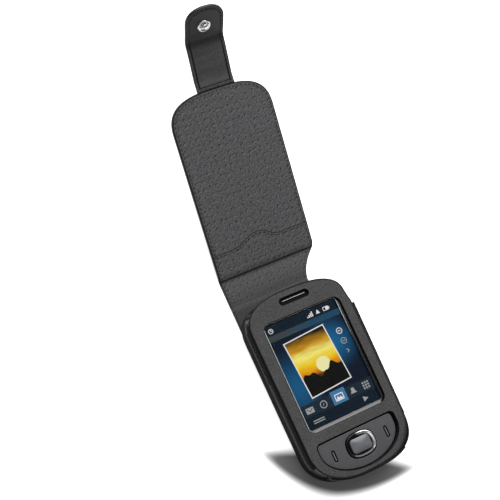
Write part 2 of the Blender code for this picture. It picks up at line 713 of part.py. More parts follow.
def keypad_panel():
    bm = slab(key_window_outline(-PANEL_EDGE_GAP), PANEL_FLANGE_LOW, PANEL_HIGH)
    panel = piece("keypad_panel", soften(bm, PANEL_HIGH, FIT_GAP), "soft_plastic")
    join(panel, slab(key_window_outline(PANEL_LAP), PANEL_FLANGE_LOW, PANEL_FLANGE_HIGH))
    low, high = PANEL_FLANGE_LOW - BODY_WALL, PANEL_HIGH + BODY_WALL
    keep(panel, slab(body_outline(-BODY_WALL - FIT_GAP), low, high))
    cut(panel, slab(pad_oval(KEY_GAP), low, high))
    for side in (-1, 1):
        cut(panel, slab(side_key_outline(side, FIT_GAP), low, high))
    return panel


def pad_empty():
    """The point that the navigation pad rocks about."""
    return pivot("pad_pivot", None, (0, PAD_Y, (ROCKER_LOW + ROCKER_HIGH) / 2), 0)


def at_pad(bm, pad):
    """Moves a shape drawn in the case's frame into the pad's frame."""
    bmesh.ops.translate(bm, verts=bm.verts, vec=-pad.location)
    return bm


def navigation_ring(pad):
    high = PANEL_HIGH + KEY_PROUD
    bm = slab(pad_oval(0), KEY_FLANGE_LOW, high)
    ring = piece("navigation_ring", at_pad(soften(bm, high, PAD_CROWN, 3), pad), "chrome", pad)
    flange = slab(pad_oval(PAD_FLANGE), KEY_FLANGE_LOW, KEY_FLANGE_HIGH)
    join(ring, at_pad(flange, pad))
    hole = slab(centre_key_outline(FIT_GAP), KEY_FLANGE_LOW - BODY_WALL, high + BODY_WALL)
    cut(ring, at_pad(hole, pad))
    return ring


def navigation_rocker(pad):
    outline = rounded_rectangle(ROCKER_WIDTH, PAD_HEIGHT, KEY_ROUNDING, 0, PAD_Y)
    bm = slab(outline, ROCKER_LOW, ROCKER_HIGH)
    rocker = piece("navigation_rocker", at_pad(bm, pad), "rubber", pad)
    low, high = (0, PAD_Y, ROCKER_LOW - BODY_WALL), (0, PAD_Y, ROCKER_HIGH + BODY_WALL)
    cut(rocker, at_pad(rod(PLUNGER_RADIUS + KEY_GAP, low, high), pad))
    return rocker


def centre_key(pad):
    high = PANEL_HIGH + FIT_GAP
    bm = slab(centre_key_outline(0), KEY_FLANGE_HIGH, high)
    key = piece("centre_key", at_pad(soften(bm, high, FIT_GAP), pad), "soft_plastic", pad)
    low = (0, PAD_Y, DOME_HIGH + DOME_HEIGHT + FIT_GAP + KEY_GAP)
    join(key, at_pad(rod(PLUNGER_RADIUS, low, (0, PAD_Y, high - BODY_WALL)), pad))
    return key


def side_key(name, side):
    high = PANEL_HIGH + FIT_GAP
    bm = slab(side_key_outline(side, 0), KEY_FLANGE_LOW, high)
    key = piece(name, soften(bm, high, FIT_GAP), "silver_plastic")
    join(key, slab(side_key_outline(side, SIDE_KEY_FLANGE), KEY_FLANGE_LOW, KEY_FLANGE_HIGH))
    return key


def key_board():
    outline = key_window_outline(-KEY_BOARD_INSET)
    return piece("key_board", slab(outline, KEY_BOARD_LOW, KEY_BOARD_HIGH), "circuit_green")


def dome_places():
    """Under the middle of the pad, its four sides and the two side keys."""
    reach_x = PAD_WIDTH / 2 - PAD_RIM
    reach_y = PAD_HEIGHT / 2 - PAD_RIM
    offsets = [(0, 0), (reach_x, 0), (-reach_x, 0), (0, reach_y), (0, -reach_y)]
    pad = [(x, PAD_Y + y) for x, y in offsets]
    return pad + [(side * SIDE_KEY_X, PAD_Y) for side in (-1, 1)]


def dome_sheet():
    outline = key_window_outline(-KEY_BOARD_INSET - FIT_GAP)
    sheet = piece("dome_sheet", slab(outline, DOME_LOW, DOME_HIGH), "steel")
    domes = bmesh.new()
    for x, y in dome_places():
        bmesh.ops.create_cone(
            domes,
            cap_ends=True,
            segments=SMALL_STEPS,
            radius1=DOME_RADIUS,
            radius2=DOME_RADIUS / 2,
            depth=DOME_HEIGHT + LAYER_GAP,
            matrix=Matrix.Translation((x, y, DOME_HIGH + (DOME_HEIGHT - LAYER_GAP) / 2)),
        )
    join(sheet, domes)
    return sheet


# Handheld: inner pieces

def battery():
    outline = rounded_rectangle(BATTERY_WIDTH, BATTERY_LENGTH, BATTERY_ROUNDING, 0, BATTERY_Y)
    return piece("battery", slab(outline, BATTERY_LOW, BATTERY_HIGH), "battery_grey")


def main_board():
    bm = slab(body_outline(-BODY_WALL - FIT_GAP), BOARD_LOW, BOARD_HIGH)
    board = piece("main_board", bm, "circuit_green")
    low, high = BOARD_LOW - BOARD_THICKNESS, BOARD_HIGH + BOARD_THICKNESS
    cut(board, screw_rods(SCREW_RADIUS + FIT_GAP, low, high))
    return board


def shield_can():
    outline = rounded_rectangle(SHIELD_WIDTH, SHIELD_LENGTH, SHIELD_CORNER, 0, DISPLAY_Y)
    low = BOARD_HIGH + FIT_GAP
    return piece("shield_can", slab(outline, low, low + SHIELD_HEIGHT), "steel")


def camera_module():
    low, high = FLOOR_HIGH + FIT_GAP, BOARD_LOW - FIT_GAP
    outline = rounded_rectangle(CAMERA_SIZE, CAMERA_SIZE, CAMERA_CORNER, CAMERA_X, CAMERA_Y)
    module = piece("camera_module", slab(outline, low, high), "black_plastic")
    barrel_low = PDA_BACK + LENS_THICKNESS + 2 * FIT_GAP
    ends = (CAMERA_X, CAMERA_Y, barrel_low), (CAMERA_X, CAMERA_Y, high - FIT_GAP)
    join(module, rod(CAMERA_BARREL_RADIUS, *ends))
    return module


def camera_window():
    low = PDA_BACK + FIT_GAP / 2
    ends = (CAMERA_X, CAMERA_Y, low), (CAMERA_X, CAMERA_Y, low + LENS_THICKNESS)
    return piece("camera_window", rod(LENS_RADIUS, *ends), "glass")


def loudspeaker():
    low = FLOOR_HIGH + FIT_GAP
    profile = [
        (0, low),
        (SPEAKER_RADIUS, low),
        (SPEAKER_RADIUS, low + SPEAKER_HEIGHT / 2),
        (MAGNET_RADIUS, low + SPEAKER_HEIGHT / 2),
        (MAGNET_RADIUS, low + SPEAKER_HEIGHT),
        (0, low + SPEAKER_HEIGHT),
    ]
    return piece("loudspeaker", turned(profile, SPEAKER_X, SPEAKER_Y), "black_plastic")


def speaker_slots():
    """Three sound slots through the rear floor."""
    bm = bmesh.new()
    for step in (-1, 0, 1):
        y = SPEAKER_Y + step * 3 * SPEAKER_SLOT
        outline = capsule(SPEAKER_RADIUS, SPEAKER_SLOT, SPEAKER_X, y)
        add_slab(bm, outline, PDA_BACK - REAR_FLOOR, FLOOR_HIGH + TINY)
    return bm


def motor_level():
    return FLOOR_HIGH + FIT_GAP + MOTOR_RADIUS


def vibration_motor():
    start = (MOTOR_X, MOTOR_Y - MOTOR_LENGTH / 2, motor_level())
    end = (MOTOR_X, MOTOR_Y + MOTOR_LENGTH / 2, motor_level())
    return piece("vibration_motor", rod(MOTOR_RADIUS, start, end), "steel")


def motor_saddle():
    """Two low ribs that the motor lies between."""
    bm = bmesh.new()
    for side in (-1, 1):
        x = MOTOR_X + side * (MOTOR_RADIUS + FIT_GAP + MOTOR_SADDLE / 2)
        outline = rounded_rectangle(MOTOR_SADDLE, MOTOR_LENGTH / 2, MOTOR_SADDLE / 4, x, MOTOR_Y)
        add_slab(bm, outline, FLOOR_HIGH - REAR_FLOOR / 2, motor_level())
    return bm


def antenna():
    y = PDA_TOP - BODY_WALL - FIT_GAP - ANTENNA_DEPTH / 2 - TOP_OVERHANG
    outline = rounded_rectangle(ANTENNA_WIDTH, ANTENNA_DEPTH, ANTENNA_CORNER, 0, y)
    low = FLOOR_HIGH + FIT_GAP
    return piece("antenna", slab(outline, low, low + ANTENNA_HEIGHT), "black_plastic")


def earpiece():
    y = EAR_Y - EARPIECE_DROP
    outline = rounded_rectangle(EARPIECE_WIDTH, EARPIECE_DEPTH, EARPIECE_CORNER, 0, y)
    high = FACE_LOW - FIT_GAP
    return piece("earpiece", slab(outline, high - EARPIECE_HEIGHT, high), "black_plastic")


def ear_grille():
    """A thin plate with a row of holes, held in the ear slot."""
    width, height = EAR_SLOT_WIDTH - 2 * FIT_GAP, EAR_SLOT_HEIGHT - 2 * FIT_GAP
    outline = capsule(width, height, 0, EAR_Y)
    low = FACE_LOW + FIT_GAP
    grille = piece("ear_grille", slab(outline, low, low + GRILLE_THICKNESS), "silver_plastic")
    holes = bmesh.new()
    count = int((width - height) / GRILLE_PITCH)
    for step in range(count + 1):
        x = (step - count / 2) * GRILLE_PITCH
        ends = (x, EAR_Y, FACE_LOW), (x, EAR_Y, PDA_FRONT)
        add_rod(holes, GRILLE_HOLE, *ends)
    cut(grille, holes)
    return grille


def microphone():
    y = KEY_WINDOW_TOP - KEY_WINDOW_HEIGHT + KEY_BOARD_INSET - FIT_GAP
    low = BOARD_HIGH + FIT_GAP
    ends = (MICROPHONE_X, y, low), (MICROPHONE_X, y, low + MICROPHONE_HEIGHT)
    return piece("microphone", rod(MICROPHONE_RADIUS, *ends), "steel")


def card_holder(name, width, side):
    """A thin metal card cage hung under the main board, above the battery's end."""
    x = side * (width + CARD_HOLDER_GAP) / 2
    y = BATTERY_Y + BATTERY_LENGTH / 2 + CARD_HOLDER_GAP + CARD_HOLDER_DEPTH / 2
    outline = rounded_rectangle(width, CARD_HOLDER_DEPTH, CARD_HOLDER_CORNER, x, y)
    high = BOARD_LOW - FIT_GAP
    return piece(name, slab(outline, high - CARD_HOLDER_HEIGHT, high), "steel")


def usb_block(low, grow):
    """The block that the socket fills from a start near the bottom end, or its pocket when grown."""
    high = PDA_BOTTOM + FIT_GAP + USB_DEPTH + grow
    top = BOARD_LOW - FIT_GAP + grow
    half = USB_WIDTH / 2 + grow
    return box((-half, low, top - USB_HEIGHT - 2 * grow), (half, high, top))


def usb_socket():
    """A metal shell open towards the bottom end, with the contact tongue across it."""
    socket = piece("usb_socket", usb_block(PDA_BOTTOM + FIT_GAP, 0), "steel")
    middle = BOARD_LOW - FIT_GAP - USB_HEIGHT / 2
    half = USB_WIDTH / 2 - USB_WALL
    depth = PDA_BOTTOM + FIT_GAP + USB_DEPTH - 2 * USB_WALL
    for side in (-1, 1):
        near = middle + side * USB_TONGUE / 2
        far = middle + side * (USB_HEIGHT / 2 - USB_WALL)
        low = (-half, PDA_BOTTOM - BODY_WALL, min(near, far))
        cut(socket, box(low, (half, depth, max(near, far))))
    return socket


# Handheld: side controls and stylus

def slider_slot(grow, travel):
    """The block that the volume slider fills, or its slot when grown and stretched by the travel."""
    half = SLIDER_LENGTH / 2 + grow + travel
    left = -PDA_WIDTH / 2 - CONTROL_PROUD - grow
    right = -PDA_WIDTH / 2 + SLIDER_DEPTH + grow
    level = PDA_BACK + SLIDER_RISE
    rise = SLIDER_HEIGHT / 2 + grow
    return box((left, SLIDER_Y - half, level - rise), (right, SLIDER_Y + half, level + rise))


def volume_slider():
    bm = slider_slot(0, 0)
    outer = [edge for edge in bm.edges if all(v.co.x < -PDA_WIDTH / 2 for v in edge.verts)]
    bmesh.ops.bevel(
        bm, geom=outer, offset=FIT_GAP, segments=2, profile=0.5, affect="EDGES", material=-1
    )
    return piece("volume_slider", bm, "silver_plastic")


def power_block(grow):
    half = POWER_LENGTH / 2 + grow
    level = PDA_BACK + POWER_RISE
    rise = POWER_HEIGHT / 2 + grow
    back = PDA_TOP - BODY_WALL - POWER_DEPTH - 2 * grow
    return box((POWER_X - half, back, level - rise), (POWER_X + half, PDA_TOP, level + rise))


def power_button():
    """A bar that follows the rounded top end and stands a little proud of it."""
    button = piece("power_button", power_block(0), "silver_plastic")
    keep(button, slab(body_outline(CONTROL_PROUD), PDA_BACK, PDA_FRONT))
    return button


def stylus_level():
    return PDA_BACK + STYLUS_RISE


def bottom_edge_at(x):
    """Where the handheld's rounded bottom end lies at a distance across."""
    share = 1 - abs(x / (PDA_WIDTH / 2)) ** BOTTOM_END_SQUARENESS
    return PDA_BOTTOM + BOTTOM_END_DEPTH * (1 - share ** (1 / BOTTOM_END_SQUARENESS))


def stylus_start():
    return bottom_edge_at(STYLUS_X) - CONTROL_PROUD


def stylus():
    """A turned rod with a thicker head at the bottom corner and a blunt writing tip."""
    tip = STYLUS_LENGTH
    profile = [
        (0, 0),
        (STYLUS_HEAD_RADIUS - FIT_GAP, 0),
        (STYLUS_HEAD_RADIUS, FIT_GAP),
        (STYLUS_HEAD_RADIUS, STYLUS_HEAD_LENGTH - FIT_GAP),
        (STYLUS_RADIUS, STYLUS_HEAD_LENGTH),
        (STYLUS_RADIUS, tip - STYLUS_TIP_LENGTH),
        (STYLUS_TIP_RADIUS, tip),
        (0, tip),
    ]
    bm = turned(profile)
    bmesh.ops.rotate(bm, verts=bm.verts, cent=(0, 0, 0), matrix=Matrix.Rotation(-math.pi / 2, 3, "X"))
    obj = piece("stylus", bm, "black_plastic")
    obj.location = (STYLUS_X, stylus_start(), stylus_level())
    return obj


# Leather holder

def back_panel():
    """Straight up the left side to the fold, with a rounded corner on the right."""
    half = BACK_WIDTH / 2
    grow = half - PDA_WIDTH / 2
    depth = BOTTOM_END_DEPTH + grow
    low = superellipse(half, depth, BOTTOM_END_SQUARENESS, 0.5, 1, END_STEPS)
    outline = moved(low, 0, HOLDER_BOTTOM + depth)
    top = SPINE_Y - FOLD_GAP / 2
    corner = superellipse(
        half - SPINE_NECK, BACK_CORNER_DEPTH, 2, 0, 0.25, END_STEPS // 2
    )
    outline += moved(corner, SPINE_NECK, top - BACK_CORNER_DEPTH)
    outline += [(-half, top)]
    bm = mitre(slab(outline, 0, BACK_THICKNESS), top, FOLD_HEIGHT, 1)
    panel = piece("case_back", bm, "black_leather")
    below, above = -BACK_THICKNESS, 2 * BACK_THICKNESS
    hole = SNAP_BODY_RADIUS + FIT_GAP
    cut(panel, rod(hole, (0, SOCKET_Y, below), (0, SOCKET_Y, above)))
    seat = BACK_THICKNESS - SNAP_LIP_HEIGHT - 2 * FIT_GAP
    cut(panel, rod(hole + SNAP_LIP, (0, SOCKET_Y, seat), (0, SOCKET_Y, above)))
    lens = (CAMERA_X, CAMERA_Y)
    cut(panel, rod(CAMERA_HOLE_RADIUS, (*lens, below), (*lens, above)))
    return panel


def front_frame():
    grow = SLEEVE_GROW - FRONT_SETBACK
    bm = slab(body_outline(grow, TOP_OVERHANG), FRONT_LOW, FRONT_HIGH)
    frame = piece("case_front", soften(bm, FRONT_HIGH, FRONT_ROUNDING, 3), "black_leather")
    low, high = FRONT_LOW - FRONT_THICKNESS, FRONT_HIGH + FRONT_THICKNESS
    window = rounded_rectangle(WINDOW_WIDTH, WINDOW_HEIGHT, WINDOW_CORNER, 0, WINDOW_Y)
    cut(frame, slab(window, low, high))
    cut(frame, slab(key_window_outline(0), low, high))
    cut(frame, slab(capsule(EAR_SLOT_WIDTH, EAR_SLOT_HEIGHT, 0, EAR_Y), low, high))
    return frame


def sleeve(name, low_corner, high_corner):
    """The part of the sleeve around the handheld that lies inside a block."""
    low, high = BACK_THICKNESS + FIT_GAP, FRONT_LOW - FIT_GAP
    bm = slab(body_outline(SLEEVE_GROW), low, high)
    soften(bm, low, WALL_ROUNDING)
    wall = piece(name, soften(bm, high, WALL_ROUNDING), "black_leather")
    cut(wall, slab(body_outline(FIT_GAP), low - WALL_THICKNESS, high + WALL_THICKNESS))
    keep(wall, box((*low_corner, low - WALL_THICKNESS), (*high_corner, high + WALL_THICKNESS)))
    return wall


def side_walls():
    outer = PDA_WIDTH / 2 + 2 * SLEEVE_GROW
    left = sleeve("case_left_wall", (-outer, WALL_LOW_END), (0, LEFT_WALL_TOP))
    level = PDA_BACK + SLIDER_RISE
    low = (-outer, SLIDER_SLOT_START, level - SLIDER_SLOT_HEIGHT / 2)
    high = (-PDA_WIDTH / 4, SLIDER_SLOT_END, level + SLIDER_SLOT_HEIGHT / 2)
    cut(left, box(low, high))
    sleeve("case_right_wall", (0, WALL_LOW_END), (outer, RIGHT_WALL_TOP))


def bottom_wall():
    half = BOTTOM_WALL_WIDTH / 2
    below = HOLDER_BOTTOM - SLEEVE_GROW
    wall = sleeve("case_bottom_wall", (-half, below), (half, PAD_Y))
    middle = BOARD_LOW - FIT_GAP - USB_HEIGHT / 2
    rise = USB_HEIGHT / 2 + PORT_MARGIN
    low = (-PORT_WIDTH / 2, below, middle - rise)
    cut(wall, box(low, (PORT_WIDTH / 2, PDA_BOTTOM + BODY_WALL, middle + rise)))
    return wall


def snap_socket():
    """The snap's socket, set flush in the back panel, with a lip on the inside."""
    low, high = LAYER_GAP, BACK_THICKNESS - LAYER_GAP
    lip_low = high - SNAP_LIP_HEIGHT
    lip = SNAP_BODY_RADIUS + SNAP_LIP
    profile = [
        (SNAP_BORE_RADIUS, low),
        (SNAP_BODY_RADIUS, low),
        (SNAP_BODY_RADIUS, lip_low),
        (lip, lip_low),
        (lip, high),
        (SNAP_BORE_RADIUS, high),
        (SNAP_BORE_RADIUS, low),
    ]
    return piece("snap_socket", turned(profile, 0, SOCKET_Y), "chrome")


# Flap

def pivot(name, parent, place, angle):
    """An empty that a moving piece is built on, turned about X."""
    empty = bpy.data.objects.new(name, None)
    bpy.context.scene.collection.objects.link(empty)
    empty.parent = parent
    empty.location = place
    empty.rotation_euler = (angle, 0, 0)
    return empty


def spine_panel(fold):
    """The hinge strip, scooped on the right to leave the top corner of the handheld free."""
    start, end = FOLD_GAP / 2, SPINE_LENGTH - FOLD_GAP / 2
    steps = END_STEPS // 2
    outline = [(-BACK_WIDTH / 2, end), (-BACK_WIDTH / 2, start)]
    for step in range(steps + 1):
        y = start + (end - start) * step / steps
        outline.append((SPINE_NECK + SPINE_FLARE * (y / SPINE_LENGTH) ** 2, y))
    bm = slab(outline, -FOLD_HEIGHT, FOLD_HEIGHT)
    mitre(bm, start, 0, -1)
    mitre(bm, end, 0, 1)
    return piece("flap_spine", bm, "grey_lining", fold)


def cover_outline(inset):
    """A straight edge at the fold and a broad rounded far end."""
    half = COVER_WIDTH / 2 - inset
    start = FOLD_GAP / 2 + inset
    depth = COVER_END_DEPTH - inset
    far = superellipse(half, depth, COVER_END_SQUARENESS, 0, 0.5, END_STEPS)
    return [(-half, start), (half, start)] + moved(far, 0, COVER_LENGTH - COVER_END_DEPTH)


def lining_low():
    return FOLD_HEIGHT - LINING_THICKNESS


def cover_leather(fold):
    """The outer leather, hollowed inside for the stiffener and open at the end for the strap."""
    high = lining_low() - LAYER_GAP
    bm = slab(cover_outline(0), -FOLD_HEIGHT, high)
    cover = piece("cover_leather", mitre(bm, FOLD_GAP / 2, 0, -1), "black_leather", fold)
    floor = stiffener_low() - LAYER_GAP
    cut(cover, slab(cover_outline(STIFFENER_INSET - FIT_GAP), floor, high + BACK_THICKNESS))
    half = STRAP_WIDTH / 2 + FIT_GAP
    mouth = (half, COVER_LENGTH + STIFFENER_INSET, high + BACK_THICKNESS)
    cut(cover, box((-half, COVER_LENGTH - COVER_END_DEPTH, floor), mouth))
    return cover


def stiffener_low():
    return lining_low() - 2 * LAYER_GAP - STIFFENER_THICKNESS


def cover_stiffener(fold):
    low = stiffener_low()
    bm = slab(cover_outline(STIFFENER_INSET), low, low + STIFFENER_THICKNESS)
    board = piece("cover_stiffener", bm, "stiff_board", fold)
    half = STRAP_WIDTH / 2 + 2 * FIT_GAP
    start = COVER_LENGTH - STRAP_TONGUE - FIT_GAP
    room = (half, COVER_LENGTH + STIFFENER_INSET, low + BACK_THICKNESS)
    cut(board, box((-half, start, low - BACK_THICKNESS), room))
    return board


def seam(shift):
    """The wavy seam across the lining, from left to right, past both edges."""
    points = []
    width = COVER_WIDTH + 2 * BACK_THICKNESS
    for step in range(2 * END_STEPS + 1):
        x = width * (step / (2 * END_STEPS) - 0.5)
        wave = math.exp(-(((x - SEAM_X) / SEAM_SPREAD) ** 2))
        points.append((x, SEAM_OFFSET + SEAM_RISE * wave + shift))
    return points


def lining(name, fold, side, far):
    """One of the two lining pieces, from the wavy seam to past one end of the cover."""
    bm = slab(cover_outline(0), lining_low(), FOLD_HEIGHT)
    obj = piece(name, mitre(bm, FOLD_GAP / 2, 0, -1), "grey_lining", fold)
    edge = seam(side * FIT_GAP / 2)
    outline = edge + [(edge[-1][0], far), (edge[0][0], far)]
    keep(obj, slab(outline, lining_low() - BACK_THICKNESS, BACK_THICKNESS))
    return obj


def dome(radius, base, height):
    """The profile of a domed cap, from its pole down to its rim on the base level."""
    points = []
    for step in range(DOME_STEPS + 1):
        angle = math.pi / 2 * step / DOME_STEPS
        points.append((radius * math.sin(angle), base - height * math.cos(angle)))
    return points


def badge(fold):
    """A plain domed disc on the outside of the cover."""
    base = -FOLD_HEIGHT - LAYER_GAP
    profile = dome(BADGE_RADIUS, base, BADGE_HEIGHT) + [(0, base)]
    return piece("cover_badge", turned(profile, BADGE_X, BADGE_Y), "chrome", fold)


# Strap and snap

def strap_root(fold):
    """The strap's fixed start: a thin tongue inside the cover, then full thickness to its fold."""
    half, rise = STRAP_WIDTH / 2, STRAP_THICKNESS / 2
    end = STRAP_REACH - FOLD_GAP / 2
    bm = box((-half, COVER_LENGTH + FIT_GAP, -rise), (half, end, rise))
    root = piece("strap_root", mitre(bm, end, 0, 1), "black_leather", fold)
    low = stiffener_low()
    tongue = (half, COVER_LENGTH + 3 * FIT_GAP, low + STIFFENER_THICKNESS)
    join(root, box((-half, COVER_LENGTH - STRAP_TONGUE, low), tongue))
    return root


def strap_bridge(fold):
    half, rise = STRAP_WIDTH / 2, STRAP_THICKNESS / 2
    start, end = FOLD_GAP / 2, STRAP_LENGTH - FOLD_GAP / 2
    bm = box((-half, start, -rise), (half, end, rise))
    mitre(bm, start, 0, -1)
    mitre(bm, end, 0, 1)
    return piece("strap_bridge", bm, "black_leather", fold)


def strap_end(fold):
    half, rise = STRAP_WIDTH / 2, STRAP_THICKNESS / 2
    start = FOLD_GAP / 2
    tip = superellipse(half, STRAP_TIP_DEPTH, STRAP_TIP_SQUARENESS, 0, 0.5, END_STEPS)
    outline = [(-half, start), (half, start)]
    outline += moved(tip, 0, STRAP_END_LENGTH - STRAP_TIP_DEPTH)
    bm = mitre(slab(outline, -rise, rise), start, 0, -1)
    end = piece("strap_end", bm, "black_leather", fold)
    hole = SNAP_SHANK_RADIUS + FIT_GAP
    cut(end, rod(hole, (0, SNAP_Y, -STRAP_THICKNESS), (0, SNAP_Y, STRAP_THICKNESS)))
    return end


def snap_stud(fold):
    """The snap's stud: a round flange and a post with a swollen head."""
    low = STRAP_THICKNESS / 2 + LAYER_GAP
    flange = low + SNAP_FLANGE_HEIGHT
    top = flange + SNAP_POST_HEIGHT
    profile = [
        (0, low),
        (SNAP_FLANGE_RADIUS, low),
        (SNAP_FLANGE_RADIUS, low + SNAP_FLANGE_HEIGHT / 2),
        (SNAP_FLANGE_RADIUS - SNAP_CHAMFER, flange),
        (SNAP_NECK_RADIUS, flange),
        (SNAP_NECK_RADIUS, flange + SNAP_POST_HEIGHT / 3),
        (SNAP_POST_RADIUS, flange + SNAP_POST_HEIGHT / 2),
        (SNAP_POST_RADIUS, top - SNAP_CHAMFER),
        (SNAP_POST_RADIUS - SNAP_CHAMFER, top),
        (0, top),
    ]
    return piece("snap_stud", turned(profile, 0, SNAP_Y), "chrome", fold)


def snap_cap(fold):
    """The snap's cap on the outside of the strap, with the shank that the stud is set on."""
    back = -STRAP_THICKNESS / 2 - LAYER_GAP
    top = STRAP_THICKNESS / 2
    profile = dome(SNAP_CAP_RADIUS, back, SNAP_CAP_HEIGHT)
    profile += [(SNAP_SHANK_RADIUS, back), (SNAP_SHANK_RADIUS, top), (0, top)]
    return piece("snap_cap", turned(profile, 0, SNAP_Y), "chrome", fold)


def build_handheld():
    front_housing()
    rear_housing()
    battery_door()
    housing_screws()
    display_bezel()
    touch_panel()
    display_module()
    keypad_panel()
    pad = pad_empty()
    navigation_ring(pad)
    navigation_rocker(pad)
    centre_key(pad)
    side_key("call_key", -1)
    side_key("end_key", 1)
    key_board()
    dome_sheet()
    battery()
    main_board()
    shield_can()
    camera_module()
    camera_window()
    loudspeaker()
    vibration_motor()
    antenna()
    earpiece()
    ear_grille()
    microphone()
    card_holder("sim_holder", SIM_WIDTH, -1)
    card_holder("memory_card_slot", CARD_WIDTH, 1)
    usb_socket()
    volume_slider()
    power_button()
    stylus()


def build_case():
    back_panel()
    front_frame()
    side_walls()
    bottom_wall()
    snap_socket()
    spine_fold = pivot("spine_fold", None, (0, SPINE_Y, FOLD_HEIGHT), 0)
    spine_panel(spine_fold)
    cover_fold = pivot("cover_fold", spine_fold, (0, SPINE_LENGTH, 0), COVER_ANGLE)
    cover_leather(cover_fold)
    cover_stiffener(cover_fold)
    lining("cover_lining", cover_fold, 1, COVER_LENGTH + BACK_THICKNESS)
    lining("hinge_lining", cover_fold, -1, -BACK_THICKNESS)
    badge(cover_fold)
    strap_root(cover_fold)
    strap_fold = pivot("strap_fold", cover_fold, (0, STRAP_REACH, 0), STRAP_ANGLE)
    strap_bridge(strap_fold)
    end_fold = pivot("strap_end_fold", strap_fold, (0, STRAP_LENGTH, 0), STRAP_END_ANGLE)
    strap_end(end_fold)
    snap_stud(end_fold)
    snap_cap(end_fold)


clear_scene()
build_handheld()
build_case()
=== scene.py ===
"""Looks of a handheld organiser in a leather flip case, lying open on a pale floor.

Metres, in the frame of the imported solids. The flap is modelled flat and then folded open about the
solids' own fold lines, and leather that crosses a fold bends with it.
"""

import json
import math

import bmesh
import bpy
from mathutils import Matrix, Vector
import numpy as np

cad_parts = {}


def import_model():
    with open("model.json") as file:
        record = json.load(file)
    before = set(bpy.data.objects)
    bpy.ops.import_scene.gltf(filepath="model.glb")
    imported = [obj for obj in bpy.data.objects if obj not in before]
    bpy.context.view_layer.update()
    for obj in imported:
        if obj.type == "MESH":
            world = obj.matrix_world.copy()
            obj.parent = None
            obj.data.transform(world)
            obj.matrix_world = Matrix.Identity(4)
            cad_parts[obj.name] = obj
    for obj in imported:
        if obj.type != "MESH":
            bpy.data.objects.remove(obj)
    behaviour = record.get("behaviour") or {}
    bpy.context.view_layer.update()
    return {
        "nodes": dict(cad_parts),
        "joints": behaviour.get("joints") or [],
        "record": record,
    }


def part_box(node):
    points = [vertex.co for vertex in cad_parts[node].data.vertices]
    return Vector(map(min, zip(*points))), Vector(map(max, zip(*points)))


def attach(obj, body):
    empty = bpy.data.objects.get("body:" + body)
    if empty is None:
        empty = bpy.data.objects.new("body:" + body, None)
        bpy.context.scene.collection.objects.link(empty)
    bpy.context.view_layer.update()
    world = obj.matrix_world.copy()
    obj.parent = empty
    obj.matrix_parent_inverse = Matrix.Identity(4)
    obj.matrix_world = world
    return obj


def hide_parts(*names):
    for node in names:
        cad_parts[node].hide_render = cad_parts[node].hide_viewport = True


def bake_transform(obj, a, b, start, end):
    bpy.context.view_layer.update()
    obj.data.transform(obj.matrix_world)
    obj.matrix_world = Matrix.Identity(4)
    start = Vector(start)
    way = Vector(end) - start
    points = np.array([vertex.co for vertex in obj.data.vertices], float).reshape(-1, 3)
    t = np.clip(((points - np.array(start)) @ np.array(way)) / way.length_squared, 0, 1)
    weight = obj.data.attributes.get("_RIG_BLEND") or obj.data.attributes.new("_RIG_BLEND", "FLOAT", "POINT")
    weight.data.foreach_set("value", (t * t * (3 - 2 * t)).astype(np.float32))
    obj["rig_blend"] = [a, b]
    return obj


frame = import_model()

MM = 0.001
TINY = 0.002 * MM
HEM = 0.05 * MM
JOINTS = {joint["name"]: joint for joint in frame["joints"]}


def axis_point(name):
    return Vector(JOINTS[name]["pos_m"])


def rest_angle(name):
    """How far a fold stands open from flat, since its low limit lays it flat."""
    return -math.radians(JOINTS[name]["range_deg"][0])


# Handheld
BODY_LOW, BODY_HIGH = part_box("front_housing")
BODY_WIDTH = BODY_HIGH.x - BODY_LOW.x
BODY_TOP = BODY_HIGH.y
BODY_BOTTOM = BODY_LOW.y
FACE = BODY_HIGH.z
TOP_END_DEPTH = 17.0 * MM
TOP_END_SQUARENESS = 2.8
BOTTOM_END_DEPTH = 20.0 * MM
BOTTOM_END_SQUARENESS = 2.4
CORNER_SQUARENESS = 3.1

# Holder
BACK_LOW, BACK_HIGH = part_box("case_back")
FRONT_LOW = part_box("case_front")[0].z
FRONT_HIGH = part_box("case_front")[1].z
FRONT_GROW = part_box("case_front")[1].x - BODY_WIDTH / 2
FRONT_TOP_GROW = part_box("case_front")[1].y - BODY_TOP
WALL_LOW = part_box("case_left_wall")[0]
WALL_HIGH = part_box("case_left_wall")[1]
WALL_GROW = -WALL_LOW.x - BODY_WIDTH / 2
WALL_CLEARANCE = 0.3 * MM
# Points of the sleeve's section: how far in and how high, in millimetres
WALL_PROFILE = [
    (0.45, 0.0), (0.1, 0.25), (0.0, 0.7), (0.0, 4.3), (0.35, 4.45), (0.35, 4.7), (0.0, 4.85),
    (0.0, 12.4), (0.15, 12.9), (0.6, 13.2),
]
WALL_STITCH_RISE = 2.3 * MM
# Painted highlight bands along the walls, where light catches their swell: foot, middle and top over the
# wall's foot in millimetres, and their grey
WALL_HIGHLIGHT_BANDS = [(3.4, 4.7, 6.2, 0.06), (7.0, 8.8, 13.4, 0.15)]
GUSSET = 9.0 * MM
LEFT_WALL_FOOT = 6.0 * MM
PORT_HALF = 6.5 * MM
PORT_LOW = 3.1 * MM
PORT_HIGH = 9.5 * MM
PORT_DEPTH = 2.0 * MM
SLEEVE_TAPER = 1.0 * MM
SLEEVE_PULL = 0.5 * MM
SLEEVE_TAPER_Y = 20.0 * MM
SLEEVE_TAPER_LENGTH = 42.0 * MM
SHOULDER_Y = 37.0 * MM
SHOULDER_REACH = 6.0 * MM
SHOULDER_SHARE = 0.05
LEFT_DRAW_Y = -5.0 * MM
LEFT_DRAW_REACH = 38.0 * MM
LEFT_DRAW_SHARE = 0.021
FRONT_LIP = 1.2 * MM
FRONT_ROUNDING = 1.2 * MM
EDGE_REACH = 1.5
LEFT_ROLL = 0.6
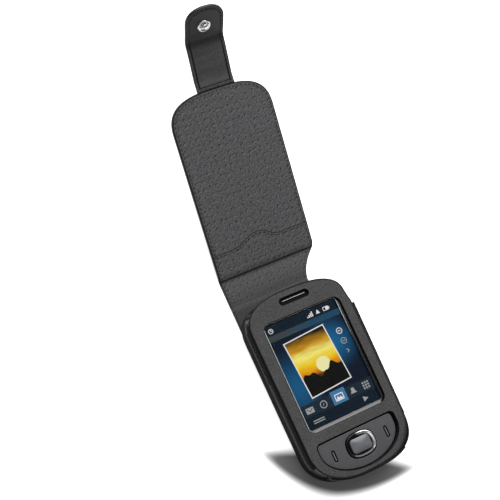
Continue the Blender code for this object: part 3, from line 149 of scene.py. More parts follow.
RIGHT_ROLL = 1.35
ROLL_CHANGE = 40.0 * MM
CORNER_PLACE = Vector((25.0, -44.0)) * MM
CORNER_REACH = 9.0 * MM
CORNER_ROLL = 2.2
WINDOW_WIDTH = 45.3 * MM
WINDOW_HEIGHT = 59.6 * MM
WINDOW_Y = 7.75 * MM
WINDOW_CORNER = 4.0 * MM
WINDOW_ROUNDING = 0.3 * MM
EAR_WIDTH = 17.2 * MM
EAR_HEIGHT = 3.8 * MM
EAR_DROP = 0.3 * MM
EAR_FLOOR_MARGIN = 0.5 * MM
EAR_FLOOR_PROUD = 0.06 * MM
EAR_FLOOR_ROUNDING = 0.04 * MM
EAR_Y = (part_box("ear_grille")[0].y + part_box("ear_grille")[1].y) / 2
KEY_WINDOW_WIDTH = 45.6 * MM
KEY_WINDOW_TOP = -27.75 * MM
KEY_WINDOW_HEIGHT = 20.0 * MM
KEY_WINDOW_BOW = 14.2 * MM
KEY_WINDOW_CORNER = 2.5 * MM
SLOT_LOW = Vector((-40 * MM, 8.75 * MM, 12.0 * MM))
SLOT_HIGH = Vector((-15 * MM, 37.5 * MM, 14.4 * MM))
SOCKET_Y = (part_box("snap_socket")[0].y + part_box("snap_socket")[1].y) / 2
SOCKET_RADIUS = 4.5 * MM
CAMERA_HOLE_RADIUS = 5.5 * MM
CAMERA_PLACE = (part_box("camera_window")[0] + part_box("camera_window")[1]) / 2
BACK_CORNER_DEPTH = 16.0 * MM

# Flap, laid flat
LEVEL = axis_point("spine_fold").z
SPINE_Y = axis_point("spine_fold").y
CREASE_Y = axis_point("cover_fold").y
STRAP_Y = CREASE_Y + (axis_point("strap_fold") - axis_point("cover_fold")).length
END_Y = STRAP_Y + (axis_point("strap_end_fold") - axis_point("strap_fold")).length
SPINE_MIDDLE = (SPINE_Y + CREASE_Y) / 2
BRIDGE_MIDDLE = (STRAP_Y + END_Y) / 2
SPINE_NECK = 17.6 * MM
SPINE_FLARE = 10.4 * MM
FLAP_HALF = 28.9 * MM
FLAP_CORNER = 5.0 * MM
COVER_END = CREASE_Y + 98.2 * MM
COVER_END_DEPTH = 19.0 * MM
COVER_END_SQUARENESS = 2.9
OUTER_HIGH = 1.35 * MM
OUTER_ROUNDING = 0.3 * MM
LINING_LOW = 1.45 * MM
LINING_HIGH = 2.0 * MM
LINING_ROUNDING = 0.15 * MM
LINING_INSET = 0.8 * MM
SEAM_OFFSET = 14.6 * MM
SEAM_RISE = 4.8 * MM
SEAM_SPREAD_LEFT = 9.5 * MM
SEAM_SPREAD_RIGHT = 7.0 * MM
SEAM_FLATNESS = 2.6
SEAM_X = -0.6 * MM
SEAM_GAP = 0.1 * MM
CREASE_DEPTH = 0.4 * MM
CREASE_FADE = 0.35
MARK_PITCH = 3.7 * MM
MARK_LEAN = 0.6
MARK_BOW = 1.6 * MM
MARK_SHIFT = 0.35 * MM
MARK_LENGTH = (0.5 * MM, 1.1 * MM)
MARK_WIDTH = (0.1 * MM, 0.45 * MM)
PAD_LOW = -0.35 * MM
PAD_START = CREASE_Y + 2.2 * MM
PAD_STITCH_START = PAD_START + 2.0 * MM
PAD_SIDE_START = PAD_START + 20.0 * MM
# Points of the padding's section: how far in from its rim and how far it swells, in millimetres
PAD_PROFILE = [
    (0.25, -0.9), (0.25, -0.3), (0.35, -0.1), (0.6, 0.0), (1.9, 0.05), (2.2, -0.2), (2.5, 0.05),
    (3.6, 0.4), (5.5, 0.75), (8.5, 1.02), (13.0, 1.2), (19.0, 1.28),
]
STRAP_HALF = 10.6 * MM
STRAP_RISE = 0.8 * MM
STRAP_ROUNDING = 0.35 * MM
STRAP_START = COVER_END - 0.5 * MM
STRAP_TIP = END_Y + 20.0 * MM
STRAP_TIP_DEPTH = 9.0 * MM
STRAP_TIP_SQUARENESS = 2.3
STRAP_SHIFT = 0.6 * MM
CREASE_STRETCH = (0.3, 1.2, 1.2)
CREASE_PITCH = 4.5 * MM
TIP_SHADE = 0.7
TIP_FADE = 6.0 * MM
TIP_FADE_LEAD = 1.1
STUD_Y = 8.6 * MM
# Points of the stud's section: radius and height over the strap, in millimetres
STUD_PROFILE = [
    (3.3, 0.02), (3.5, 0.2), (3.45, 0.45), (3.2, 0.62), (2.85, 0.65), (2.5, 0.5), (2.3, 0.3), (1.7, 0.3),
    (1.6, 0.8), (1.85, 1.2), (1.85, 1.6), (1.6, 1.95), (1.1, 2.15), (0.5, 2.25),
]

# Each fold: its place along the flat flap, its angle at rest, the length of leather that bends
FOLDS = [
    (END_Y, rest_angle("strap_end_fold"), 11.0 * MM),
    (STRAP_Y, rest_angle("strap_fold"), 6.0 * MM),
    (CREASE_Y, rest_angle("cover_fold"), 3.0 * MM),
]
SPINE_BEND = 4.0 * MM
CREASE_BEND_REACH = 2.2 * MM
STRAP_BEND_REACH = 3.0 * MM
FLAP_SLICED_REACH = 4.0 * MM
STRAP_SLICED_REACH = 5.0 * MM
SPINE_SKIVE = 0.9 * MM
SKIVE_START = SPINE_Y + 0.8 * MM
SKIVE_START_RAMP = 2.0 * MM
SKIVE_END = CREASE_Y + 3.6 * MM
SKIVE_END_RAMP = 5.6 * MM
SLICE = 0.5 * MM

# Stitching
STITCH_INSET = 1.8 * MM
STITCH_PITCH = 2.3 * MM
STITCH_LENGTH = 1.7 * MM
STITCH_WIDTH = 0.65 * MM
STITCH_HEIGHT = 0.35 * MM
GROOVE_WIDTH = 0.45 * MM
GROOVE_DEPTH = 0.3 * MM
STITCH_PROUD = 0.02 * MM
SEAM_STITCH_DROP = 0.9 * MM

# Keypad
PAD_CENTRE = (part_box("navigation_ring")[0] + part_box("navigation_ring")[1]) / 2
PAD_WIDTH = 16.0 * MM
PAD_HEIGHT = 12.4 * MM
PAD_SQUARENESS = 2.6
# Points of the pad's rim: how far in and how high over the panel, in millimetres
RING_PROFILE = [
    (0.0, 0.0), (0.05, 0.2), (0.15, 0.33), (0.3, 0.38), (0.6, 0.33), (0.95, 0.15), (1.3, -0.1), (1.55, -0.35),
]
# Angle from the pad's middle to the middle of the ring's painted highlight
RING_HIGHLIGHT_ANGLE = 0.5
PANEL_RIGHT_SHARE = 0.965
PANEL_DIP_SIDE = 0.3 * MM
PANEL_DIP_FOOT = 0.7 * MM
CENTRE_KEY_WIDTH = 11.2 * MM
CENTRE_KEY_HEIGHT = 7.6 * MM
CENTRE_KEY_CORNER = 2.0 * MM
CENTRE_KEY_RISE = 0.2 * MM
CENTRE_KEY_ROUNDING = 0.4 * MM
CENTRE_KEY_CROWN = 0.6 * MM
SLOPE_DROP = 0.4 * MM
SLOPE_FOOT_DROP = 0.7 * MM
PANEL_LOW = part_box("keypad_panel")[0].z
PANEL_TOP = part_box("keypad_panel")[1].z - 0.6 * MM
PANEL_EDGE_GAP = 0.55 * MM
PANEL_ROUNDING = 0.3 * MM
PANEL_STRIPS = 16
BED_DROP = 0.3 * MM
BED_RISE = 0.2 * MM
KEY_ROUNDING = 0.08 * MM
SIDE_KEY_X = 15.5 * MM
SIDE_KEY_WIDTH = 1.7 * MM
SIDE_KEY_HEIGHT = 5.8 * MM
SIDE_KEY_SINK = 0.8 * MM
SIDE_BAR_INSET = 0.48 * MM
SIDE_BAR_ROUNDING = 0.12 * MM
KEY_GAP = 0.3 * MM

# Display
DISPLAY_WIDTH = 42.7 * MM
DISPLAY_HEIGHT = 57.0 * MM
DISPLAY_Y = 8.35 * MM
DISPLAY_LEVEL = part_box("display_module")[1].z
BEZEL_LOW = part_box("display_bezel")[0].z
BEZEL_LAP = 1.0 * MM
DISPLAY_MARGIN = 0.3 * MM
DISPLAY_CORNER = 1.0 * MM
TRIM_SIDE = 0.35 * MM
TRIM_FOOT = 1.75 * MM
TRIM_CORNER = 2.4 * MM
TRIM_DEPTH = 0.3 * MM
TRIM_ROUNDING = 0.1 * MM
TRIM_INNER_ROUNDING = 0.02 * MM
RIGHT_BORDER = 0.9 * MM
EAR_LINE_DEPTH = 0.8 * MM
EAR_LINE_LENGTH = 13.4 * MM
EAR_LINE_WIDTH = 0.4 * MM
EAR_LINE_ROUNDING = 0.12 * MM
TRIM_PROUD = 0.08 * MM
LAYER = 0.02 * MM

# Edge paint goes on faces whose normals rise less than this
EDGE_SLOPE = 0.6
LINING_EDGE_SLOPE = 0.9
STRAP_EDGE_SLOPE = 0.95

# Points along curves
END_STEPS = 56
CORNER_STEPS = 10
ROUND_STEPS = 56


# Shader maths

class Value:
    """A shader socket that takes part in sums: each operator adds a Math node."""

    def __init__(self, paint, socket):
        self.paint = paint
        self.socket = socket

    def __add__(self, other):
        return self.paint.maths("ADD", self, other)

    def __sub__(self, other):
        return self.paint.maths("SUBTRACT", self, other)

    def __rsub__(self, other):
        return self.paint.maths("SUBTRACT", other, self)

    def __mul__(self, other):
        return self.paint.maths("MULTIPLY", self, other)

    def __truediv__(self, other):
        return self.paint.maths("DIVIDE", self, other)

    __radd__ = __add__
    __rmul__ = __mul__


class Paint:
    """A material under construction around its Principled shader."""

    def __init__(self, name):
        self.material = bpy.data.materials.new(name)
        self.material.use_nodes = True
        self.tree = self.material.node_tree
        self.shader = self.tree.nodes["Principled BSDF"]

    def node(self, kind, settings, sockets, output=0):
        """Any node: its settings first, then the values or links of its sockets."""
        made = self.tree.nodes.new("ShaderNode" + kind)
        for key, value in settings.items():
            if key == "stops":
                self.stops(made.color_ramp, value)
            else:
                setattr(made, key, value)
        for key, value in sockets.items():
            self.feed(made.inputs[key], value)
        return Value(self, made.outputs[output])

    def stops(self, ramp, stops):
        while len(ramp.elements) < len(stops):
            ramp.elements.new(1.0)
        for element, (place, colour) in zip(ramp.elements, stops):
            element.position = place
            element.color = colour

    def feed(self, socket, value):
        if isinstance(value, Value):
            self.tree.links.new(value.socket, socket)
        else:
            socket.default_value = value

    def maths(self, operation, first, second):
        return self.node("Math", {"operation": operation}, {0: first, 1: second})

    def step(self, value, low, high):
        """0 below low, 1 above high and smooth between."""
        settings = {"interpolation_type": "SMOOTHSTEP"}
        return self.node("MapRange", settings, {"Value": value, "From Min": low, "From Max": high})

    def mix(self, share, first, second):
        settings = {"data_type": "RGBA"}
        return self.node("Mix", settings, {0: share, 6: first, 7: second}, output=2)

    def place(self, stretch=None):
        """Object coordinates, stretched along the axes where asked."""
        spot = self.node("TexCoord", {}, {}, output=3)
        if stretch is None:
            return spot
        return self.node("Mapping", {}, {"Vector": spot, "Scale": stretch})

    def laid_flat(self):
        """The flat layout of a flap piece, kept in its UV map."""
        return self.node("UVMap", {"uv_map": "flat"}, {})

    def axis(self, vector, index):
        return self.node("SeparateXYZ", {}, {"Vector": vector}, output=index)

    def noise(self, place, size, detail=2.0, roughness=0.5):
        sockets = {"Vector": place, "Scale": 1 / size, "Detail": detail, "Roughness": roughness}
        return self.node("TexNoise", {}, sockets)

    def cells(self, place, size):
        return self.node("TexVoronoi", {}, {"Vector": place, "Scale": 1 / size})

    def distance(self, across, along):
        return self.maths("SQRT", across * across + along * along, 0.0)

    # The edge layer: edge paint on leather's cut edges, painted shade on plastic's rims and gaps and on the
    # strap's end
    def edge_paint_and_shade(self):
        return self.node("Attribute", {"attribute_name": "edge"}, {}, output=2)

    def bump(self, height, depth, strength=1.0):
        return self.node("Bump", {}, {"Strength": strength, "Distance": depth, "Height": height})

    def finish(self, sockets):
        for key, value in sockets.items():
            self.feed(self.shader.inputs[key], value)
        return self.material


def grey(level, tint=(1.0, 1.0, 1.0)):
    return (level * tint[0], level * tint[1], level * tint[2], 1.0)


# Finishes

def leather(name, colour, worn, edge_colour, roughness, gloss, highlight_bands=(), creased=0.0):
    """Fine-grained leather with pores, cloudy wear, painted cut edges, any painted highlight bands and any
    creases.
    """
    paint = Paint(name)
    place = paint.place()
    grain = paint.cells(place, 0.7 * MM)
    pores = paint.noise(place, 0.5 * MM, detail=3.0, roughness=0.65)
    cloud = paint.noise(place, 14 * MM, detail=3.0)
    edge = paint.edge_paint_and_shade()
    height = grain * 0.3 + pores * 0.75
    creases = paint.noise(paint.place(CREASE_STRETCH), CREASE_PITCH, detail=3.0) * creased
    shade = paint.step(height, 0.32, 0.68) * 0.65 + cloud * 0.35 + (creases - creased * 0.5)
    tone = paint.mix(shade, colour, worn)
    # Painted highlight: bands up the wall where the light would catch it
    for low, middle, high, highlight_grey in highlight_bands:
        rise = paint.axis(place, 2) - WALL_LOW.z
        band = paint.step(rise, low * MM, middle * MM) * (1.0 - paint.step(rise, middle * MM, high * MM))
        tone = paint.mix(band * shade, tone, grey(highlight_grey))
    tone = paint.mix(edge, tone, edge_colour)
    return paint.finish({
        "Base Color": tone,
        "Roughness": roughness + (pores - 0.5) * 0.25 - edge * 0.1,
        "Specular IOR Level": gloss,
        "Normal": paint.bump(height + creases * 8.0, 0.05 * MM, 0.6),
    })


def lining_leather():
    """Dark pebbled lining with small crescents pressed into it, each with painted shade and a painted
    highlight, and painted shade down in the spine.
    """
    paint = Paint("pebbled_lining")
    place = paint.laid_flat()
    pebbles = paint.noise(place, 1.0 * MM, detail=3.5, roughness=0.65)
    blotches = paint.noise(place, 3.2 * MM, detail=2.0)
    nearest = {"Vector": place, "Scale": 1 / MARK_PITCH, "Randomness": 0.3}
    middle = paint.node("TexVoronoi", {"voronoi_dimensions": "2D"}, nearest, output=2)
    offset = paint.node("VectorMath", {"operation": "SUBTRACT"}, {0: place, 1: middle})
    lean_x, lean_y = math.cos(MARK_LEAN), math.sin(MARK_LEAN)
    length = paint.axis(offset, 0) * lean_x + paint.axis(offset, 1) * lean_y
    width = paint.axis(offset, 1) * lean_x - paint.axis(offset, 0) * lean_y
    bowed = width + length * length / MARK_BOW
    ends = 1.0 - paint.step(paint.maths("ABSOLUTE", length, 0.0), *MARK_LENGTH)
    worn = ends * paint.step(paint.noise(place, 1.6 * MM, detail=1.0), 0.36, 0.52)

    # Each crescent is painted twice, a little apart: painted shade on one side and a painted highlight
    # (inside) on the other
    def pressed(shift):
        away = paint.maths("ABSOLUTE", bowed - shift, 0.0)
        return worn * (1.0 - paint.step(away, *MARK_WIDTH))

    mark_shade, inside = pressed(MARK_SHIFT), pressed(-MARK_SHIFT)
    edge = paint.edge_paint_and_shade()
    shade = paint.step(pebbles, 0.33, 0.67) * 0.7 + blotches * 0.3
    tone = paint.mix(shade, grey(0.028, (1.0, 1.0, 1.03)), grey(0.115, (1.0, 1.0, 1.04)))
    marked = paint.mix(mark_shade * 0.95, paint.mix(inside * 0.4, tone, grey(0.19)), grey(0.005))
    along = paint.axis(place, 1)
    # Painted shade down in the spine below the crease, deepest towards its fold at the holder
    spine = 1.0 - paint.step(along, CREASE_Y - 1 * MM, CREASE_Y + 0.5 * MM)
    neck = 1.0 - paint.step(along, SPINE_Y - 2 * MM, CREASE_Y - 3 * MM)
    spine_shaded = paint.mix(spine * 0.4 + neck * 0.4, marked, grey(0.008))
    return paint.finish({
        "Base Color": paint.mix(edge, spine_shaded, grey(0.004)),
        "Roughness": 0.68 + (pebbles - 0.5) * 0.2,
        "Specular IOR Level": 0.3,
        "Normal": paint.bump(pebbles * 0.8 + inside * 0.2 - mark_shade * 0.6, 0.12 * MM, 0.8),
    })


def thread(name, colour):
    """Waxed thread, with the lie of its twist."""
    paint = Paint(name)
    twist = paint.noise(paint.place(), 0.22 * MM, detail=1.0)
    return paint.finish({
        "Base Color": paint.mix(twist, colour, grey(colour[0] * 1.8)),
        "Roughness": 0.5 + twist * 0.2,
        "Normal": paint.bump(twist, 0.05 * MM, 0.6),
    })


def moulded(name, colour, roughness, sparkle=0.06, speckle=0.2 * MM, gloss=0.5):
    """Moulded plastic with a fine spark-eroded texture, with painted shade that blackens its rims and the
    walls of its gaps between pieces.
    """
    paint = Paint(name)
    place = paint.place()
    fine = paint.noise(place, speckle, detail=2.0)
    cloud = paint.noise(place, 9 * MM, detail=2.0)
    lighter = tuple(min(1.0, part * (1 + 4 * sparkle) + sparkle * 0.02) for part in colour[:3]) + (1.0,)
    tone = paint.mix(fine * 0.6 + cloud * 0.4, colour, lighter)
    # Painted shade: the edge layer blackens the rims and the walls of gaps
    return paint.finish({
        "Base Color": paint.mix(paint.edge_paint_and_shade(), tone, grey(0.002)),
        "Roughness": roughness + (fine - 0.5) * 0.16,
        "Specular IOR Level": gloss,
        "Normal": paint.bump(fine, 0.02 * MM, 0.35),
    })


def metal(name, colour, roughness, brushed=False):
    """Plated or brushed metal with faint handling marks."""
    paint = Paint(name)
    place = paint.place((1.0, 0.06, 1.0) if brushed else None)
    marks = paint.noise(place, 0.5 * MM, detail=4.0)
    haze = paint.noise(paint.place(), 4 * MM, detail=2.0)
    dull = tuple(part * 0.82 for part in colour[:3]) + (1.0,)
    return paint.finish({
        "Base Color": paint.mix(haze * 0.5 + marks * 0.5, colour, dull),
        "Metallic": 1.0,
        "Roughness": roughness + (marks - 0.5) * 0.12,
    })


def painted_highlight_chrome():
    """Chrome with painted light: a painted highlight on the ring's right and painted shade on the rest."""
    paint = Paint("painted_highlight_chrome")
    place = paint.place()
    marks = paint.noise(place, 0.5 * MM, detail=3.0)
    across, along = paint.axis(place, 0), paint.axis(place, 1) - PAD_CENTRE.y
    towards = across * math.cos(RING_HIGHLIGHT_ANGLE) + along * math.sin(RING_HIGHLIGHT_ANGLE)
    facing = towards / paint.distance(across, along)
    # Painted highlight where a point lies towards that angle, painted shade elsewhere
    clear = paint.step(facing, 0.3, 0.75)
    return paint.finish({
        "Base Color": paint.mix(clear, grey(0.035), grey(0.85)),
        "Metallic": 1.0,
        "Roughness": 0.24 + (marks - 0.5) * 0.08,
    })


def trim_silver():
    """Silver: a fine line painted bright as a highlight, satin along the foot, and painted shade there and
    down the right side.
    """
    paint = Paint("trim_silver")
    place = paint.place()
    across, along = paint.axis(place, 0), paint.axis(place, 1)
    fine = paint.noise(place, 0.3 * MM, detail=2.0)
    foot = DISPLAY_Y - DISPLAY_HEIGHT / 2 - DISPLAY_MARGIN
    right_side = DISPLAY_WIDTH / 2 - RIGHT_BORDER
    lower = 1.0 - paint.step(along, 12 * MM, 30 * MM)
    # Painted shade down the lower part of the display's right side
    right = paint.step(across, right_side - 1.5 * MM, right_side) * lower
    # Painted shade along the foot, darkest by the display's lower edge
    rise = paint.step(along, foot - TRIM_FOOT, foot) * (1.0 - paint.step(along, foot, foot + 0.3 * MM))
    shaded_foot = paint.mix(rise, paint.mix(fine, grey(0.26), grey(0.36)), grey(0.07))
    # Painted highlight: the line along the sides and top is painted bright enough to read as lit in the rim's
    # shade
    silver = paint.mix(paint.step(along, foot + 0.4 * MM, foot + 2 * MM), shaded_foot, grey(0.8))
    return paint.finish({
        "Base Color": paint.mix(right, silver, grey(0.01)),
        "Roughness": 0.35 + fine * 0.1,
    })


def clear_panel():
    """The thin clear touch panel over the display."""
    paint = Paint("clear_panel")
    haze = paint.noise(paint.place(), 11 * MM, detail=2.0)
    return paint.finish({
        "Base Color": grey(0.9),
        "Roughness": 0.03 + haze * 0.05,
        "Transmission Weight": 1.0,
        "IOR": 1.3,
    })


def lit(paint, colour):
    """Closes a material of the display, which shines by itself."""
    return paint.finish({
        "Base Color": grey(0.0),
        "Roughness": 0.4,
        "Specular IOR Level": 0.0,
        "Emission Color": colour,
        "Emission Strength": 1.0,
    })


def glow(name, low, high, mask):
    """A lit part of the display: mask gives how far each point goes from the low to the high colour."""
    paint = Paint(name)
    return lit(paint, paint.mix(mask(paint), low, high))


# Mesh tools

def new_object(name, bm, material, smooth_angle=35):
    """Closes a bmesh into a finished object of the scene."""
    bmesh.ops.recalc_face_normals(bm, faces=bm.faces)
    mesh = bpy.data.meshes.new(name)
    bm.to_mesh(mesh)
    bm.free()
    mesh.shade_smooth()
    mesh.set_sharp_from_angle(angle=math.radians(smooth_angle))
    mesh.materials.append(material)
    obj = bpy.data.objects.new(name, mesh)
    bpy.context.scene.collection.objects.link(obj)
    return obj


def flatten_shading(mesh):
    """Points the normals of a plate's level top straight up, right to its rounded rims."""
    level = {corner for face in mesh.polygons if face.normal.z > 0.9999 for corner in face.vertices}
    normals = [(0, 0, 1) if index in level else (0, 0, 0) for index in range(len(mesh.vertices))]
    mesh.normals_split_custom_set_from_vertices(normals)


def rider(name, bm, material, body, replaced=(), smooth_angle=35, flat=False):
    """A piece that moves with one body. A flat one keeps its faces flat beside their rounded rims."""
    obj = new_object(name, bm, material, smooth_angle)
    if flat:
        flatten_shading(obj.data)
    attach(obj, body)
    if replaced:
        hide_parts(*replaced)
    return obj


def bender(name, bm, material, bodies, ends, replaced=()):
    """A leather piece that bends between two bodies."""
    obj = new_object(name, bm, material)
    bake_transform(obj, *bodies, start=ends[0], end=ends[1])
    if replaced:
        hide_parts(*replaced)
    return obj


def carve(bm, tool, operation="DIFFERENCE"):
    """Cuts one bmesh with another through a Boolean, and gives the result back as a bmesh."""
    body = new_object("carved", bm, None)
    other = new_object("tool", tool, None)
    modifier = body.modifiers.new("carve", "BOOLEAN")
    modifier.operation = operation
    modifier.solver = "EXACT"
    modifier.object = other
    graph = bpy.context.evaluated_depsgraph_get()
    result = bmesh.new()
    result.from_object(body, graph)
    for obj in (body, other):
        mesh = obj.data
        bpy.data.objects.remove(obj)
        bpy.data.meshes.remove(mesh)
    return result


def first_ring(bm, outline, level):
    """A closed loop of points on one level, and the edges that join them."""
    verts = [bm.verts.new((x, y, level)) for x, y in outline]
    return verts, [bm.edges.new(pair) for pair in zip(verts, verts[1:] + verts[:1])]


def next_ring(bm, ring, outline, level):
    """Extrudes a ring of edges out to another outline with as many points."""
    made = bmesh.ops.extrude_edge_only(bm, edges=ring[1])["geom"]
    fresh = {item for item in made if isinstance(item, bmesh.types.BMVert)}
    verts = []
    for vert, (x, y) in zip(ring[0], outline):
        ends = [edge.other_vert(vert) for edge in vert.link_edges]
        verts += [end for end in ends if end in fresh]
        verts[-1].co = (x, y, level)
    return verts, [bm.edges.get(pair) for pair in zip(verts, verts[1:] + verts[:1])]


def drawn_rings(bm, loops):
    """The rings through a row of loops, each an outline on a level, with a skin between them."""
    rings = [first_ring(bm, *loops[0])]
    for outline, level in loops[1:]:
        rings.append(next_ring(bm, rings[-1], outline, level))
    return rings


def plate(outlines, low, high):
    """A flat plate between two levels: the first outline is its rim, and any others are holes in it."""
    bm = bmesh.new()
    rings = [first_ring(bm, outline, low) for outline in outlines]
    if len(rings) == 1:
        base = [bm.faces.new(rings[0][0])]
    else:
        edges = [edge for ring in rings for edge in ring[1]]
        filled = bmesh.ops.triangle_fill(bm, edges=edges, use_beauty=True)["geom"]
        base = [item for item in filled if isinstance(item, bmesh.types.BMFace)]
    lifted = bmesh.ops.extrude_face_region(bm, geom=base)["geom"]
    risen = [item for item in lifted if isinstance(item, bmesh.types.BMVert)]
    bmesh.ops.translate(bm, verts=risen, vec=(0, 0, high - low))
    bmesh.ops.recalc_face_normals(bm, faces=bm.faces)
    return bm


def ring_solid(loops, caps=True):
    """A solid through a row of loops. Without caps it runs on from the last loop to the first."""
    bm = bmesh.new()
    rings = drawn_rings(bm, loops if caps else loops + loops[:1])
    if caps:
        for ring in (rings[0], rings[-1]):
            bm.faces.new(ring[0])
    else:
        bmesh.ops.weld_verts(bm, targetmap=dict(zip(rings[-1][0], rings[0][0])))
    bmesh.ops.recalc_face_normals(bm, faces=bm.faces)
    return bm


def rounded_plate(rims, low, high, steps=3, spread=None):
    """A flat plate with a rounded upper edge. Each rim is an outline and its rounding.

    The first rim is the outer one, which the spread widens, and the others are holes.
    """
    bm = bmesh.new()
    layer = bm.verts.layers.float.new("edge")
    base, top = [], []
    for index, (outline, rounding) in enumerate(rims):
        inwards, wider = (1, spread) if index == 0 else (-1, None)
        loops, paint = [(outline, low)], [1.0]
        for step in range(steps + 1):
            angle = math.pi / 2 * step / steps
            line = inset(outline, inwards * rounding * (1 - math.cos(angle)), wider)
            loops.append((line, high - rounding * (1 - math.sin(angle))))
            # The edge layer is full on the walls and fades over the rounding: edge paint on leather, painted
            # shade on plastic
            paint.append(min(EDGE_REACH * math.cos(angle), 1.0))
        rings = drawn_rings(bm, loops)
        for ring, share in zip(rings, paint):
            for vert in ring[0]:
                vert[layer] = share
        base += rings[0][1]
        top += rings[-1][1]
    for edges in (base, top):
        bmesh.ops.triangle_fill(bm, edges=edges, use_beauty=True)
    bmesh.ops.recalc_face_normals(bm, faces=bm.faces)
    return bm


def block(low, high):
    outline = [(low[0], low[1]), (high[0], low[1]), (high[0], high[1]), (low[0], high[1])]
    return plate([outline], low[2], high[2])


def on_level(item, level):
    return all(abs(vert.co.z - level) < TINY for vert in item.verts)


def round_over(bm, level, width):
    """Rounds a plate's rim on one level, and hems its flat face."""
    rims = []
    for edge in bm.edges:
        walls = [face for face in edge.link_faces if abs(face.normal.z) < 0.5]
        if on_level(edge, level) and walls:
            rims.append(edge)
    bmesh.ops.bevel(bm, geom=rims, offset=width, segments=2, profile=0.5, affect="EDGES", material=-1)
    bm.normal_update()
    flats = [face for face in bm.faces if abs(face.normal.z) > 0.999 and on_level(face, level)]
    bmesh.ops.inset_region(bm, faces=flats, thickness=HEM, use_even_offset=True)
    return bm


def trim(bm, point, normal):
    """Slices off what lies on the normal's side of a plane, and closes the cut."""
    everything = bm.verts[:] + bm.edges[:] + bm.faces[:]
    sliced = bmesh.ops.bisect_plane(
        bm, geom=everything, dist=TINY, plane_co=point, plane_no=normal, clear_outer=True
    )
    edges = [item for item in sliced["geom_cut"] if isinstance(item, bmesh.types.BMEdge)]
    if edges:
        bmesh.ops.holes_fill(bm, edges=edges, sides=0)
    return bm


def slice_across(bm, places, axis=1):
    """Cuts a piece into strips without taking anything away, so that it can bend."""
    normal = Vector((0, 0, 0))
    normal[axis] = 1.0
    for place in places:
        everything = bm.verts[:] + bm.edges[:] + bm.faces[:]
        bmesh.ops.bisect_plane(bm, geom=everything, dist=TINY, plane_co=normal * place, plane_no=normal)
    return bm


def bend_slices(y, reach):
    count = int(2 * reach / SLICE)
    return [y - reach + 2 * reach * step / count for step in range(count + 1)]


def smooth(share):
    share = min(max(share, 0.0), 1.0)
    return share * share * (3 - 2 * share)


def mark_edges(bm, cut=None, slope=EDGE_SLOPE, shade=None):
    """Notes which points lie on an edge, for the edge paint, and any painted shade of the others.

    A cut where two pieces meet stays bare.
    """
    bm.normal_update()
    layer = bm.verts.layers.float.new("edge")

    def on_edge(face):
        meets = cut is not None and all(abs(vert.co.y - cut) < HEM for vert in face.verts)
        return abs(face.normal.z) < slope and not meets

    for vert in bm.verts:
        ground = shade(vert.co) if shade else 0.0
        vert[layer] = 1.0 if any(on_edge(face) for face in vert.link_faces) else ground
    return bm


def keep_layout(bm):
    """Keeps the flat layout of a flap piece in a UV map."""
    layer = bm.loops.layers.uv.new("flat")
    for face in bm.faces:
        for loop in face.loops:
            loop[layer].uv = loop.vert.co.xy
    return bm


def press_crease(bm):
    """Presses the cover's crease into the lining, with painted shade along it through the edge layer."""
    layer = bm.verts.layers.float["edge"]
    for vert in bm.verts:
        away = abs(vert.co.y - CREASE_Y)
        if away < 2 * SLICE + TINY:
            vert[layer] = max(vert[layer], 1.0 - CREASE_FADE * away / SLICE)
        if away < TINY and vert.co.z > LINING_HIGH - TINY:
            vert.co.z -= CREASE_DEPTH


def skived(bm):
    """Pares the flat spine thinner from its inside, so that it folds up clear of the holder's front."""
    for vert in bm.verts:
        y, z = vert.co.y, vert.co.z
        share = smooth((y - SKIVE_START) / SKIVE_START_RAMP) * smooth((SKIVE_END - y) / SKIVE_END_RAMP)
        vert.co.z -= SPINE_SKIVE * share * min(max(z / OUTER_HIGH, 0.0), 1.0)
    return bm


def fold_open(bm):
    """Folds a flat flap piece to where it stands at rest."""
    for vert in bm.verts:
        flat_y = vert.co.y
        for y, angle, zone in FOLDS:
            turn = Matrix.Rotation(angle * smooth((flat_y - y) / zone + 0.5), 3, "X")
            pivot = Vector((0, y, LEVEL))
            vert.co = pivot + turn @ (vert.co - pivot)
    return bm


def opened(y, z=LEVEL):
    """Where a point of the flat flap's middle line stands at rest."""
    bm = bmesh.new()
    vert = bm.verts.new((0, y, z))
    fold_open(bm)
    place = vert.co.copy()
    bm.free()
    return place


# Outlines

def superellipse(half_width, half_height, squareness, start, end, steps):
    """Points of a superellipse between two angles in turns."""
    points = []
    for step in range(steps + 1):
        angle = math.tau * (start + (end - start) * step / steps)
        across, along = math.cos(angle), math.sin(angle)
        x = half_width * math.copysign(abs(across) ** (2 / squareness), across)
        y = half_height * math.copysign(abs(along) ** (2 / squareness), along)
        points.append((x, y))
    return points


def moved(points, x, y):
    return [(px + x, py + y) for px, py in points]


def oval(width, height, squareness, x, y):
    return moved(superellipse(width / 2, height / 2, squareness, 0, 1, ROUND_STEPS)[:-1], x, y)


def rounded_rectangle(width, height, corner, x=0.0, y=0.0):
    across, along = width / 2 - corner, height / 2 - corner
    points = []
    for quarter, (sx, sy) in enumerate([(1, 1), (-1, 1), (-1, -1), (1, -1)]):
        arc = superellipse(corner, corner, 2, quarter / 4, quarter / 4 + 0.25, CORNER_STEPS)
        points += moved(arc, x + sx * across, y + sy * along)
    return points


def capsule(width, height, x, y):
    return rounded_rectangle(width, height, min(width, height) / 2 - TINY, x, y)


